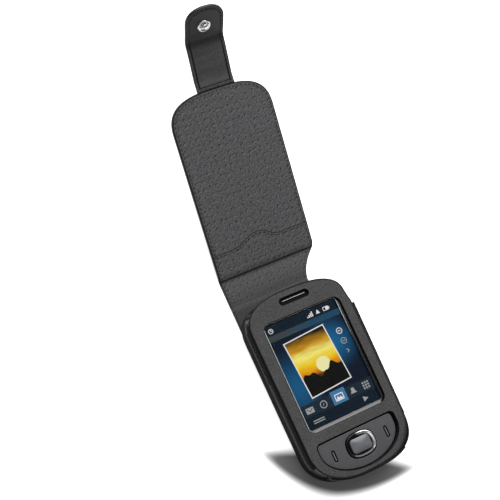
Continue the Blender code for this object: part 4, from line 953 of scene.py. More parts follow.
def body_outline(grow, top_grow=None):
    """The handheld's outline from the front, grown outwards."""
    half = BODY_WIDTH / 2 + grow
    top_grow = grow if top_grow is None else top_grow
    top = superellipse(half, TOP_END_DEPTH + top_grow, TOP_END_SQUARENESS, 0, 0.5, END_STEPS)
    depth = BOTTOM_END_DEPTH + grow
    low = superellipse(half, depth, BOTTOM_END_SQUARENESS, 0.5, 0.75, END_STEPS // 2)
    low += superellipse(half, depth, CORNER_SQUARENESS, 0.75, 1, END_STEPS // 2)[1:]
    upper = moved(top, 0, BODY_TOP - TOP_END_DEPTH)
    return upper + moved(low, 0, BODY_BOTTOM + BOTTOM_END_DEPTH)


def key_window_outline(grow):
    """The keypad's outline: straight across the top, bowed below."""
    half = KEY_WINDOW_WIDTH / 2 + grow
    corner = KEY_WINDOW_CORNER + grow
    points = []
    for quarter, side in enumerate([1, -1]):
        arc = superellipse(corner, corner, 2, quarter / 4, quarter / 4 + 0.25, CORNER_STEPS)
        points += moved(arc, side * (half - corner), KEY_WINDOW_TOP + grow - corner)
    bow = superellipse(half, KEY_WINDOW_BOW + grow, 2, 0.5, 1, END_STEPS)
    return points + moved(bow, 0, KEY_WINDOW_TOP - KEY_WINDOW_HEIGHT + KEY_WINDOW_BOW)


def flap_right(y):
    """The flap's right edge: scooped beside the spine, then straight along the cover."""
    if y <= CREASE_Y:
        return SPINE_NECK + SPINE_FLARE * ((y - SPINE_Y) / (CREASE_Y - SPINE_Y)) ** 2
    share = min((y - CREASE_Y) / FLAP_CORNER, 1.0)
    bulge = math.sqrt(1 - (1 - share) ** 2)
    return SPINE_NECK + SPINE_FLARE + (FLAP_HALF - SPINE_NECK - SPINE_FLARE) * bulge


def right_edge(start, end, steps, short=0.0):
    places = [start + (end - start) * step / steps for step in range(steps + 1)]
    return [(flap_right(y) - short, y) for y in places]


def far_end(short=0.0):
    """The broad rounded end of the cover, from right to left."""
    half, depth = FLAP_HALF - short, COVER_END_DEPTH - short
    end = superellipse(half, depth, COVER_END_SQUARENESS, 0, 0.5, END_STEPS)
    return moved(end, 0, COVER_END - COVER_END_DEPTH)


def back_edge():
    """The back panel's outline from the left side round the bottom to the neck of the spine."""
    half = BACK_HIGH.x
    depth = BOTTOM_END_DEPTH + half - BODY_WIDTH / 2
    low = superellipse(half, depth, BOTTOM_END_SQUARENESS, 0.5, 1, END_STEPS)
    corner = superellipse(half - SPINE_NECK, BACK_CORNER_DEPTH, 2, 0, 0.25, END_STEPS // 2)
    return moved(low, 0, BACK_LOW.y + depth) + moved(corner, SPINE_NECK, SPINE_Y - BACK_CORNER_DEPTH)


def seam(shift):
    """The wavy seam across the lining, from left to right."""
    points = []
    for step in range(2 * END_STEPS + 1):
        x = (FLAP_HALF - LINING_INSET) * (step / END_STEPS - 1)
        spread = SEAM_SPREAD_LEFT if x < SEAM_X else SEAM_SPREAD_RIGHT
        wave = math.exp(-(abs((x - SEAM_X) / spread) ** SEAM_FLATNESS))
        points.append((x, CREASE_Y + SEAM_OFFSET + SEAM_RISE * wave + shift))
    return points


def inset(points, distance, spread=None):
    """A closed anticlockwise outline moved inwards, by more where the spread says so."""
    moved_in = []
    for before, here, after in zip(points[-1:] + points[:-1], points, points[1:] + points[:1]):
        along = Vector((after[0] - before[0], after[1] - before[1])).normalized()
        way = distance if spread is None else distance * spread(*here)
        moved_in.append((here[0] - along.y * way, here[1] + along.x * way))
    return moved_in


def strap_outline(start):
    tip = superellipse(STRAP_HALF, STRAP_TIP_DEPTH, STRAP_TIP_SQUARENESS, 0, 0.5, END_STEPS)
    sides = [(-STRAP_HALF, start), (STRAP_HALF, start)]
    return moved(sides + moved(tip, 0, STRAP_TIP - STRAP_TIP_DEPTH), STRAP_SHIFT, 0)


# Stitching

def spread_along(points, pitch):
    """Evenly spaced (place, direction) pairs along a line of points."""
    found = []
    carried = pitch / 2
    for first, second in zip(points, points[1:]):
        start, end = Vector(first), Vector(second)
        length = (end - start).length
        while carried <= length and length > 0:
            found.append((start.lerp(end, carried / length), (end - start).normalized()))
            carried += pitch
        carried -= length
    return found


def add_stitch(bm, place, along, upright=False):
    """One thread, lying on a level face or on an upright one."""
    turn = Matrix.Rotation(math.atan2(along.y, along.x), 4, "Z")
    across, rise = (STITCH_HEIGHT, STITCH_WIDTH) if upright else (STITCH_WIDTH, STITCH_HEIGHT)
    size = Matrix.Diagonal((STITCH_LENGTH / 2, across / 2, rise / 2, 1))
    spot = Matrix.Translation(place) @ turn @ size
    bmesh.ops.create_uvsphere(bm, u_segments=8, v_segments=6, radius=1.0, matrix=spot)


def stitches(path, level, low=-1.0, high=1.0):
    """Short threads along a flat path, where the path's y lies between low and high."""
    bm = bmesh.new()
    for place, along in spread_along(path, STITCH_PITCH):
        if low <= place.y < high:
            add_stitch(bm, (place.x, place.y, level), along)
    return bm


def groove(bm, side, distance):
    """Presses a stitching groove into the flat face on one side, parallel to its rim."""
    bm.normal_update()
    face = max((f for f in bm.faces if f.normal.z * side > 0.9), key=lambda f: f.calc_area())
    steps = [
        (distance - GROOVE_WIDTH - HEM, 0.0), (HEM, 0.0), (GROOVE_WIDTH, -GROOVE_DEPTH),
        (GROOVE_WIDTH, GROOVE_DEPTH), (HEM, 0.0),
    ]
    for width, rise in steps:
        bmesh.ops.inset_region(bm, faces=[face], thickness=width, depth=rise, use_even_offset=True)
    return bm


def leather_sheet(outline, low, high, rounding, stitch_sides=()):
    """A leather panel laid flat, with rounded rims and any stitching grooves."""
    bm = plate([outline], low, high)
    for level in (low, high):
        round_over(bm, level, rounding)
    for side in stitch_sides:
        groove(bm, side, STITCH_INSET - rounding)
    wide = [face for face in bm.faces if len(face.verts) > 4]
    bmesh.ops.triangulate(bm, faces=wide, quad_method="BEAUTY", ngon_method="EAR_CLIP")
    return bm


# Leather holder

def corner_roll(x, y):
    """How wide the front's rim rolls over: more on the right, most at the lower right corner."""
    away = (Vector((x, y)) - CORNER_PLACE).length / CORNER_REACH
    side = smooth(0.5 + x / ROLL_CHANGE)
    return LEFT_ROLL + (RIGHT_ROLL - LEFT_ROLL) * side + CORNER_ROLL * math.exp(-away * away)


def sewn(outline):
    """Draws the sleeve in where its seams pull: along the left, and more and more down the right."""
    drawn = []
    for x, y in outline:
        down = min(max((SLEEVE_TAPER_Y - y) / SLEEVE_TAPER_LENGTH, 0.0), 1.0)
        pull = SLEEVE_TAPER * down if x > 0 else SLEEVE_PULL * smooth(3 * down)
        drawn.append((x - math.copysign(pull * min(abs(x) / (BODY_WIDTH / 2), 1.0), x), y))
    return drawn


def drawn_corner(outline):
    """Draws in the front panel's right shoulder, over the end of the right wall, and its left side."""
    drawn = []
    for x, y in outline:
        shoulder = SHOULDER_SHARE * math.exp(-(((y - SHOULDER_Y) / SHOULDER_REACH) ** 2))
        side = LEFT_DRAW_SHARE * math.exp(-(((y - LEFT_DRAW_Y) / LEFT_DRAW_REACH) ** 4))
        drawn.append((x * (1 - (shoulder if x > 0 else side)), y))
    return drawn


def holder_front(material):
    """The front panel with its three windows and rolled rim."""
    window = rounded_rectangle(WINDOW_WIDTH, WINDOW_HEIGHT, WINDOW_CORNER, 0, WINDOW_Y)
    rim = drawn_corner(sewn(body_outline(FRONT_GROW, FRONT_TOP_GROW + FRONT_LIP)))
    holes = [window, key_window_outline(0), capsule(EAR_WIDTH, EAR_HEIGHT, 0, EAR_Y - EAR_DROP)]
    rims = [(rim, FRONT_ROUNDING)] + [(hole, WINDOW_ROUNDING) for hole in holes]
    bm = rounded_plate(rims, FRONT_LOW, FRONT_HIGH, steps=6, spread=corner_roll)
    rider("holder_front", bm, material, "holder", ["case_front"], flat=True)


def sleeve(low, high):
    """The part of the sleeve round the handheld that lies inside a block."""
    section = [(WALL_GROW - back * MM, WALL_LOW.z + rise * MM) for back, rise in WALL_PROFILE]
    section += [(WALL_CLEARANCE, WALL_HIGH.z), (WALL_CLEARANCE, WALL_LOW.z)]
    bm = ring_solid([(sewn(body_outline(grow)), level) for grow, level in section], caps=False)
    return carve(bm, block((*low, WALL_LOW.z - MM), (*high, WALL_HIGH.z + MM)), "INTERSECT")


def wall_stitching(material):
    """A row of thread low along each side wall."""
    path = sewn(body_outline(WALL_GROW))
    path = path + path[:1]
    ends = {-1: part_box("case_left_wall"), 1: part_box("case_right_wall")}
    bm = bmesh.new()
    for place, along in spread_along(path, STITCH_PITCH):
        low, high = ends[1 if place.x > 0 else -1]
        if low.y + MM < place.y < high.y - MM:
            add_stitch(bm, (place.x, place.y, WALL_LOW.z + WALL_STITCH_RISE), along, upright=True)
    rider("stitches_walls", bm, material, "holder", smooth_angle=60)


def holder_walls(material):
    """The sleeve's left, right and bottom walls, with the control's slot and the socket's opening."""
    far = 2 * BODY_WIDTH
    left = sleeve((-far, WALL_LOW.y - LEFT_WALL_FOOT), (0, WALL_HIGH.y + GUSSET))
    trim(left, (0, WALL_HIGH.y, WALL_HIGH.z), (0, WALL_HIGH.z - WALL_LOW.z, GUSSET))
    left = carve(left, block(SLOT_LOW, SLOT_HIGH))
    rider("wall_left", left, material, "holder", ["case_left_wall"])
    low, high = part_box("case_right_wall")
    right = sleeve((0, low.y), (far, high.y))
    rider("wall_right", right, material, "holder", ["case_right_wall"])
    low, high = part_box("case_bottom_wall")
    bottom = sleeve((low.x, -far), (high.x, high.y))
    port = block((-PORT_HALF, -far, PORT_LOW), (PORT_HALF, BODY_BOTTOM + PORT_DEPTH, PORT_HIGH))
    bottom = carve(bottom, port)
    rider("wall_bottom", bottom, material, "holder", ["case_bottom_wall"])


def back_holes(low, high):
    """The snap's and the camera's holes through the back panel, as one tool."""
    bm = plate([oval(2 * SOCKET_RADIUS, 2 * SOCKET_RADIUS, 2, 0, SOCKET_Y)], low, high)
    width = 2 * CAMERA_HOLE_RADIUS
    other = plate([oval(width, width, 2, CAMERA_PLACE.x, CAMERA_PLACE.y)], low, high)
    mesh = bpy.data.meshes.new("hole")
    other.to_mesh(mesh)
    other.free()
    bm.from_mesh(mesh)
    bpy.data.meshes.remove(mesh)
    return bm


# Flap

def flap_outline():
    """The whole outer leather: back panel, spine and cover in one flat piece."""
    spine = right_edge(SPINE_Y, CREASE_Y + FLAP_CORNER, 40)
    return back_edge()[:-1] + spine + far_end()


def spine_bend():
    return (0, SPINE_Y - SPINE_BEND / 2, LEVEL), (0, SPINE_Y + SPINE_BEND / 2, LEVEL)


def bend_at(y, reach):
    return opened(y - reach), opened(y + reach)


def crease_bend():
    return bend_at(CREASE_Y, CREASE_BEND_REACH)


def outer_leather(material):
    """The smooth outside of the back, spine and cover, in two pieces that meet in the flat of the spine."""
    for name, bodies, ends, replaced in (
        ("back_leather", ("holder", "spine"), spine_bend(), ["case_back"]),
        ("cover_outer", ("spine", "cover"), crease_bend(), ["flap_spine", "cover_leather"]),
    ):
        bm = leather_sheet(flap_outline(), BACK_LOW.z, OUTER_HIGH, OUTER_ROUNDING)
        side = 1 if name == "back_leather" else -1
        if side > 0:
            bm = carve(bm, back_holes(BACK_LOW.z - MM, OUTER_HIGH + MM))
        trim(bm, (0, SPINE_MIDDLE, 0), (0, side, 0))
        slice_across(bm, bend_slices(SPINE_Y if side > 0 else CREASE_Y, FLAP_SLICED_REACH))
        mark_edges(bm, SPINE_MIDDLE)
        bender(name, fold_open(skived(bm)), material, bodies, ends, replaced)


def lining(name, outline, material, bodies, ends, replaced, cut=None, fold_y=None):
    """One panel of the lining: a cut trims it, and it is sliced up where it folds."""
    bm = leather_sheet(outline, LINING_LOW, LINING_HIGH, LINING_ROUNDING)
    if cut:
        trim(bm, (0, cut[0], 0), (0, cut[1], 0))
    if fold_y:
        slice_across(bm, bend_slices(fold_y, FLAP_SLICED_REACH))
    mark_edges(bm, SPINE_MIDDLE, LINING_EDGE_SLOPE)
    if fold_y == CREASE_Y:
        press_crease(bm)
    keep_layout(bm)
    fold_open(skived(bm))
    if len(bodies) == 1:
        return rider(name, bm, material, bodies[0], replaced)
    return bender(name, bm, material, bodies, ends, replaced)


def flap_lining(material):
    """The lining's three panels: back, hinge up to the wavy seam, and cover."""
    left = -FLAP_HALF
    past = FLAP_SLICED_REACH
    beyond = SPINE_MIDDLE + past
    back = back_edge()[:-1] + right_edge(SPINE_Y, beyond, 20) + [(left, beyond)]
    lining(
        "back_lining", inset(back, LINING_INSET), material, ("holder", "spine"), spine_bend(), [],
        (SPINE_MIDDLE, 1), SPINE_Y,
    )
    start = SPINE_MIDDLE - past
    low_seam = seam(-SEAM_GAP)
    right = right_edge(start, low_seam[-1][1] - TINY, 40, LINING_INSET)
    hinge = [(left + LINING_INSET, start)] + right + low_seam[::-1]
    lining(
        "hinge_panel", hinge, material, ("spine", "cover"), crease_bend(), ["hinge_lining"],
        (SPINE_MIDDLE, -1), CREASE_Y,
    )
    cover = seam(SEAM_GAP) + far_end(LINING_INSET)
    lining("cover_panel", cover, material, ("cover",), None, ["cover_lining"])


def cover_pad(material):
    """The padded outside of the cover, drawn down at its stitched rim."""
    right = right_edge(PAD_START, CREASE_Y + FLAP_CORNER + MM, 12)
    outline = right + far_end() + [(-FLAP_HALF, PAD_SIDE_START), (-FLAP_HALF, PAD_START)]
    middle = (PAD_START + COVER_END) / 2
    half_length = (COVER_END - PAD_START) / 2

    def drawn_in(distance):
        wide, long = 1 - distance / FLAP_HALF, 1 - distance / half_length
        return [(x * wide, middle + (y - middle) * long) for x, y in outline]

    bm = ring_solid([(drawn_in(distance * MM), PAD_LOW - swell * MM) for distance, swell in PAD_PROFILE])
    mark_edges(bm)
    obj = rider("cover_padding", fold_open(bm), material, "cover")


def tip_shade(place):
    """The strap's end turns away from the light, so painted shade darkens it beyond the fold."""
    return TIP_SHADE * smooth((place.y - END_Y) / TIP_FADE + TIP_FADE_LEAD)


def strap(material):
    """The closing strap, in two pieces that meet in the flat between its folds."""
    low, high = LEVEL - STRAP_RISE, LEVEL + STRAP_RISE
    for name, side, bodies, fold_y, replaced in (
        ("strap_lower", 1, ("cover", "strap"), STRAP_Y, ["strap_root", "strap_bridge"]),
        ("strap_upper", -1, ("strap", "strap_tip"), END_Y, ["strap_end"]),
    ):
        bm = leather_sheet(strap_outline(STRAP_START), low, high, STRAP_ROUNDING, (1, -1))
        trim(bm, (0, BRIDGE_MIDDLE, 0), (0, side, 0))
        slice_across(bm, bend_slices(fold_y, STRAP_SLICED_REACH))
        mark_edges(bm, BRIDGE_MIDDLE, STRAP_EDGE_SLOPE, tip_shade)
        ends = bend_at(fold_y, STRAP_BEND_REACH)
        bender(name, fold_open(bm), material, bodies, ends, replaced)


def stud(material):
    """The snap's stud: a rolled flange, a groove and a round-headed post."""
    y = END_Y + STUD_Y
    loops = []
    for radius, rise in STUD_PROFILE:
        loops.append((oval(2 * radius * MM, 2 * radius * MM, 2, 0, y), LEVEL + STRAP_RISE + rise * MM))
    rider("stud", fold_open(ring_solid(loops)), material, "strap_tip", ["snap_stud"], 50)


def flap_stitching(material):
    """Every row of thread on the flap, cut up by the leather piece that it is sewn to."""
    outline = flap_outline()
    rim = inset(outline, STITCH_INSET)
    closed_rim = rim + rim[:1]
    top = LINING_HIGH + STITCH_PROUD
    bottom = PAD_LOW - STITCH_PROUD
    wave = seam(-SEAM_GAP - SEAM_STITCH_DROP)
    across = [point for point in wave if abs(point[0]) < FLAP_HALF - STITCH_INSET]
    strap_rim = inset(strap_outline(STRAP_START), STITCH_INSET)
    cover_low = CREASE_Y + SEAM_OFFSET
    rows = [
        ("stitches_spine", closed_rim, top, SPINE_Y, SPINE_MIDDLE, ("holder", "spine"), spine_bend()),
        ("stitches_hinge", closed_rim, top, SPINE_MIDDLE, cover_low, ("spine", "cover"), crease_bend()),
        ("stitches_cover", closed_rim, top, cover_low, 1.0, ("cover",), None),
        ("stitches_seam", across, top, 0.0, 1.0, ("cover",), None),
        ("stitches_padding", closed_rim, bottom, PAD_STITCH_START, 1.0, ("cover",), None),
    ]
    low_bend, high_bend = (bend_at(y, STRAP_BEND_REACH) for y in (STRAP_Y, END_Y))
    for side, level in (("inner", LEVEL + STRAP_RISE), ("outer", LEVEL - STRAP_RISE)):
        low_row = (strap_rim, level, COVER_END, BRIDGE_MIDDLE, ("cover", "strap"), low_bend)
        high_row = (strap_rim, level, BRIDGE_MIDDLE, 1.0, ("strap", "strap_tip"), high_bend)
        rows += [(f"stitches_strap_{side}", *low_row), (f"stitches_tip_{side}", *high_row)]
    for name, path, level, low, high, bodies, ends in rows:
        bm = fold_open(skived(stitches(path, level, low, high)))
        if len(bodies) == 1:
            rider(name, bm, material, bodies[0], smooth_angle=60)
        else:
            bender(name, bm, material, bodies, ends)


# Handheld face

def pad_oval(grow):
    return oval(PAD_WIDTH + 2 * grow, PAD_HEIGHT + 2 * grow, PAD_SQUARENESS, 0, PAD_CENTRE.y)


def centre_key_outline():
    return rounded_rectangle(CENTRE_KEY_WIDTH, CENTRE_KEY_HEIGHT, CENTRE_KEY_CORNER, 0, PAD_CENTRE.y)


def side_key_outline(side, grow):
    return capsule(SIDE_KEY_WIDTH + 2 * grow, SIDE_KEY_HEIGHT + 2 * grow, side * SIDE_KEY_X, PAD_CENTRE.y)


def crowned(outline, middle_y, low, high, rounding, crown):
    """A key top with a rounded rim that swells towards its middle."""
    def shrunk(share):
        return [(x * share, middle_y + (y - middle_y) * share) for x, y in outline]

    rim = [(share, high - rounding * (1 - rise)) for share, rise in ((1.0, 0.0), (0.985, 0.6), (0.94, 1.0))]
    dome = [(share, high + crown * (1 - share * share)) for share in (0.8, 0.6, 0.4, 0.2)]
    return ring_solid([(outline, low)] + [(shrunk(share), level) for share, level in rim + dome])


def panel_dip(x, y):
    """How far the keypad's panel falls away towards its foot and sides."""
    across = x / (KEY_WINDOW_WIDTH / 2)
    down = (KEY_WINDOW_TOP - y) / KEY_WINDOW_HEIGHT
    return PANEL_DIP_SIDE * across * across + PANEL_DIP_FOOT * down * down


def keypad_panel(finishes):
    """The dished panel that the keys come through, and the black bed under it."""
    holes = [pad_oval(KEY_GAP)] + [side_key_outline(side, KEY_GAP / 2) for side in (-1, 1)]
    rim = [(x * PANEL_RIGHT_SHARE if x > 0 else x, y) for x, y in key_window_outline(-PANEL_EDGE_GAP)]
    rims = [(line, PANEL_ROUNDING) for line in (rim, holes[0])]
    rims += [(line, KEY_ROUNDING) for line in holes[1:]]
    panel = rounded_plate(rims, PANEL_LOW, PANEL_TOP)
    strips = [step / PANEL_STRIPS for step in range(1, PANEL_STRIPS)]
    slice_across(panel, [KEY_WINDOW_WIDTH * (strip - 0.5) for strip in strips], 0)
    slice_across(panel, [KEY_WINDOW_TOP - KEY_WINDOW_HEIGHT * strip for strip in strips])
    for vert in panel.verts:
        if vert.co.z > PANEL_LOW + TINY:
            vert.co.z -= panel_dip(vert.co.x, vert.co.y)
    rider("keypad_face", panel, finishes["soft_plastic"], "holder", ["keypad_panel"])
    # The bed blackens the gaps round the panel and keys, partly as painted shade
    outlines = [key_window_outline(PANEL_EDGE_GAP)] + holes
    bed = plate(outlines, PANEL_LOW - BED_DROP, PANEL_LOW + BED_RISE)
    rider("keypad_bed", bed, finishes["recess_shade_black"], "holder")


def navigation_pad(finishes):
    """The pad's bright rim, the dark slope inside it and the crowned key in its middle."""
    middle = PAD_CENTRE.y
    rim_width = RING_PROFILE[-1][0] * MM
    loops = [(pad_oval(0), PANEL_LOW)]
    loops += [(pad_oval(-back * MM), PANEL_TOP + rise * MM) for back, rise in RING_PROFILE]
    rim = ring_solid(loops + [(pad_oval(-rim_width), PANEL_LOW)], caps=False)
    rider("pad_rim", rim, finishes["painted_highlight_chrome"], "pad_ring", ["navigation_ring"], 60)
    within = pad_oval(-rim_width - TINY)
    hollow = oval(CENTRE_KEY_WIDTH + 2 * KEY_GAP, CENTRE_KEY_HEIGHT + 2 * KEY_GAP, 4, 0, middle)
    loops = [(within, PANEL_LOW), (within, PANEL_TOP - SLOPE_DROP)]
    loops += [(hollow, PANEL_TOP - SLOPE_FOOT_DROP), (hollow, PANEL_LOW)]
    slope = ring_solid(loops, caps=False)
    rider("pad_slope", slope, finishes["recess_shade_black"], "pad_ring")
    top = PANEL_TOP + CENTRE_KEY_RISE
    key = crowned(centre_key_outline(), middle, PANEL_LOW, top, CENTRE_KEY_ROUNDING, CENTRE_KEY_CROWN)
    rider("pad_button", key, finishes["key_plastic"], "pad_key", ["centre_key"])


def side_keys(finishes):
    """The two side keys, each a dark body with a lighter bar on it."""
    dark, light = finishes["recess_shade_black"], finishes["key_plastic"]
    top = PANEL_TOP - panel_dip(SIDE_KEY_X, PAD_CENTRE.y)
    for side, body, name in ((-1, "left_key", "call_key"), (1, "right_key", "end_key")):
        base = plate([side_key_outline(side, 0)], PANEL_LOW, top - SIDE_KEY_SINK)
        rider(f"{name}_body", base, dark, body, [name])
        outline = side_key_outline(side, -SIDE_BAR_INSET)
        bar = rounded_plate([(outline, SIDE_BAR_ROUNDING)], PANEL_LOW, top)
        rider(f"{name}_bar", bar, light, body, flat=True)


def display_opening(side, foot, corner):
    """The opening over the display, grown at its sides and top, and along its foot."""
    width = DISPLAY_WIDTH - RIGHT_BORDER + 2 * (DISPLAY_MARGIN + side)
    height = DISPLAY_HEIGHT + 2 * DISPLAY_MARGIN + side + foot
    return rounded_rectangle(width, height, corner, -RIGHT_BORDER / 2, DISPLAY_Y + (side - foot) / 2)


def display_frame(finishes):
    """The black frame round the picture, with a silver line that widens along the foot."""
    width, height = WINDOW_WIDTH + 2 * BEZEL_LAP, WINDOW_HEIGHT + 2 * BEZEL_LAP
    rim = rounded_rectangle(width, height, WINDOW_CORNER + BEZEL_LAP, 0, WINDOW_Y)
    opening = display_opening(0, 0, DISPLAY_CORNER)
    surround = plate([rim, opening], BEZEL_LOW, FACE)
    black, silver = finishes["gloss_black"], finishes["trim_silver"]
    rider("display_surround", surround, black, "holder", ["display_bezel"])
    outer = display_opening(TRIM_SIDE, TRIM_FOOT, TRIM_CORNER)
    rims = [(outer, TRIM_ROUNDING), (opening, TRIM_INNER_ROUNDING)]
    line = rounded_plate(rims, FACE - TRIM_DEPTH, FACE + TRIM_PROUD, steps=2)
    rider("display_trim", line, silver, "holder", flat=True)


def ear_slot(finishes):
    """The earpiece's plate, with a bright line along the slot."""
    low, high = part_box("ear_grille")
    width, height = EAR_WIDTH + 2 * EAR_FLOOR_MARGIN, EAR_HEIGHT + 2 * EAR_FLOOR_MARGIN
    outline = capsule(width, height, 0, EAR_Y - EAR_DROP)
    floor = rounded_plate([(outline, EAR_FLOOR_ROUNDING)], low.z, max(high.z, FACE + EAR_FLOOR_PROUD))
    # The plate's near-black is partly painted shade inside the slot
    rider("ear_plate", floor, finishes["recess_shade_black"], "holder", ["ear_grille"], flat=True)
    top = FRONT_HIGH - EAR_LINE_DEPTH
    line = capsule(EAR_LINE_LENGTH, EAR_LINE_WIDTH, 0, EAR_Y)
    bar = rounded_plate([(line, EAR_LINE_ROUNDING)], high.z, top)
    rider("ear_line", bar, finishes["silver"], "holder", flat=True)


# Picture on the display

SCREEN_LEFT = -DISPLAY_WIDTH / 2
SCREEN_LOW = DISPLAY_Y - DISPLAY_HEIGHT / 2
# Glows in the night sky: place and reach in millimetres, how far squeezed upright, and strength
NIGHT_GLOWS = [(10.0, 16.0, 17.0, 1.0, 1.0), (-17.0, 2.0, 15.0, 0.671, 0.75)]
# The snapshot, in millimetres, and the sun in it from its middle
PICTURE_PLACE = Vector((19.6, 30.6))
PICTURE_WIDTH = 23.4
PICTURE_HEIGHT = 30.2
PICTURE_BORDER = 0.6
PICTURE_FADE = 15.0
PICTURE_TILT = math.radians(4)
SUN_PLACE = Vector((2.2, -2.6))
SUN_RADIUS = 4.0
SUN_STEPS = 40
RIDGE_STEPS = 24


def on_screen(x, y):
    """A place on the display, from its lower left corner in millimetres."""
    return SCREEN_LEFT + x * MM, SCREEN_LOW + y * MM


def layer(name, outlines, depth, material):
    """A thin lit shape on the display, stacked above those of a lesser depth."""
    low = DISPLAY_LEVEL + LAYER * (2 * depth + 1)
    rider(name, plate(outlines, low, low + LAYER), material, "holder")


def tile(x, y, width, height, corner):
    centre = on_screen(x + width / 2, y + height / 2)
    return rounded_rectangle(width * MM, height * MM, corner * MM, *centre)


def disc(x, y, radius):
    return oval(2 * radius * MM, 2 * radius * MM, 2, *on_screen(x, y))


def shape(points):
    return [on_screen(x, y) for x, y in points]


def flat_glow(name, colour):
    """One lit colour with a faint pixel grid."""
    def mask(paint):
        return paint.noise(paint.place(), 0.2 * MM, detail=0.0)
    dim = tuple(part * 0.9 for part in colour[:3]) + (1.0,)
    return glow(name, dim, colour, mask)


def sky_glow():
    """Dark navy with a blue glow that spreads from the upper right and the lower left."""
    def mask(paint):
        place = paint.place()
        x, y = paint.axis(place, 0), paint.axis(place, 1)
        total = 0.0
        for glow_x, glow_y, reach, squeeze, strength in NIGHT_GLOWS:
            away = paint.distance(x - glow_x * MM, (y - glow_y * MM) * squeeze)
            total = total + (1.0 - paint.step(away, 0.0, reach * MM)) * strength
        return total
    return glow("night_glow", (0.0035, 0.009, 0.022, 1.0), (0.008, 0.125, 0.29, 1.0), mask)


def picture_glow(low_y, high_y):
    """A sunset: a yellow and orange sky that fades to black above."""
    paint = Paint("sunset")
    y = paint.axis(paint.place(), 1)
    haze = paint.noise(paint.place((0.25, 1.0, 1.0)), 2.4 * MM, detail=4.0)
    rise = (y - low_y) / (high_y - low_y) + (haze - 0.5) * 0.22
    stops = [
        (0.0, (0.006, 0.005, 0.004, 1.0)),
        (0.26, (0.05, 0.016, 0.002, 1.0)),
        (0.36, (0.72, 0.24, 0.005, 1.0)),
        (0.5, (0.92, 0.62, 0.012, 1.0)),
        (0.66, (0.95, 0.86, 0.2, 1.0)),
        (0.8, (0.62, 0.3, 0.01, 1.0)),
        (1.0, (0.01, 0.007, 0.005, 1.0)),
    ]
    return lit(paint, paint.node("ValToRGB", {"stops": stops}, {"Fac": rise}))


def rightwards(paint):
    return paint.step(paint.axis(paint.place(), 0), -15 * MM, 8 * MM)


def screen():
    """The lit display: sky, bars, icons and the snapshot."""
    white = flat_glow("lit_white", grey(0.85))
    pale = flat_glow("lit_grey", grey(0.38))
    bar = flat_glow("lit_bar", (0.0045, 0.013, 0.024, 1.0))
    band = glow("lit_band", (0.045, 0.056, 0.066, 1.0), (0.014, 0.064, 0.125, 1.0), rightwards)
    dock = flat_glow("lit_dock", (0.012, 0.024, 0.04, 1.0))
    tab = flat_glow("lit_tab", (0.06, 0.2, 0.38, 1.0))
    black = flat_glow("lit_black", grey(0.004))
    wide, tall = DISPLAY_WIDTH / MM, DISPLAY_HEIGHT / MM
    layer("screen_glow", [tile(0, 0, wide, tall, 0.6)], 0, sky_glow())
    layer("status_bar", [tile(0, tall - 5.4, wide, 5.4, 0.5)], 1, bar)
    layer("title_band", [tile(0, tall - 8.6, wide, 3.2, 0.1)], 1, band)
    layer("dock_bar", [tile(0, 6.2, wide, 6.4, 0.1)], 1, dock)
    layer("dock_tab", [tile(18.0, 6.2, 8.4, 7.2, 0.3)], 2, tab)
    layer("foot_bar", [tile(0, 0, wide, 6.2, 0.4)], 1, bar)
    status_icons(white, tall)
    dock_icons(white, pale)
    side_icons(white, pale)
    picture(white, black)


def status_icons(white, tall):
    """Signal bars, a bell, a battery and a clock's face in the top bar."""
    low = tall - 4.3
    for step in range(4):
        bar = tile(24.6 + 0.95 * step, low, 0.65, 0.8 + 0.62 * step, 0.05)
        layer(f"signal_bar_{step + 1}", [bar], 2, white)
    bell = [(29.9, 0.3), (32.3, 0.3), (31.7, 1.3), (31.4, 2.3), (30.8, 2.3), (30.5, 1.3)]
    layer("bell_icon", [shape(moved(bell, 0, low))], 2, white)
    charge = tile(34.65, low + 0.55, 1.2, 1.4, 0.05)
    layer("battery_icon", [tile(34.3, low + 0.2, 3.4, 2.1, 0.2), charge], 2, white)
    layer("battery_tip", [tile(37.8, low + 0.8, 0.4, 0.9, 0.05)], 2, white)
    layer("clock_face", [disc(3.2, low + 1.25, 1.35), disc(3.2, low + 1.25, 1.0)], 2, white)
    hand = [(3.05, 1.1), (4.0, 1.1), (4.0, 1.4), (3.35, 1.4), (3.35, 2.1), (3.05, 2.1)]
    layer("clock_hand", [shape(moved(hand, 0, low))], 2, white)


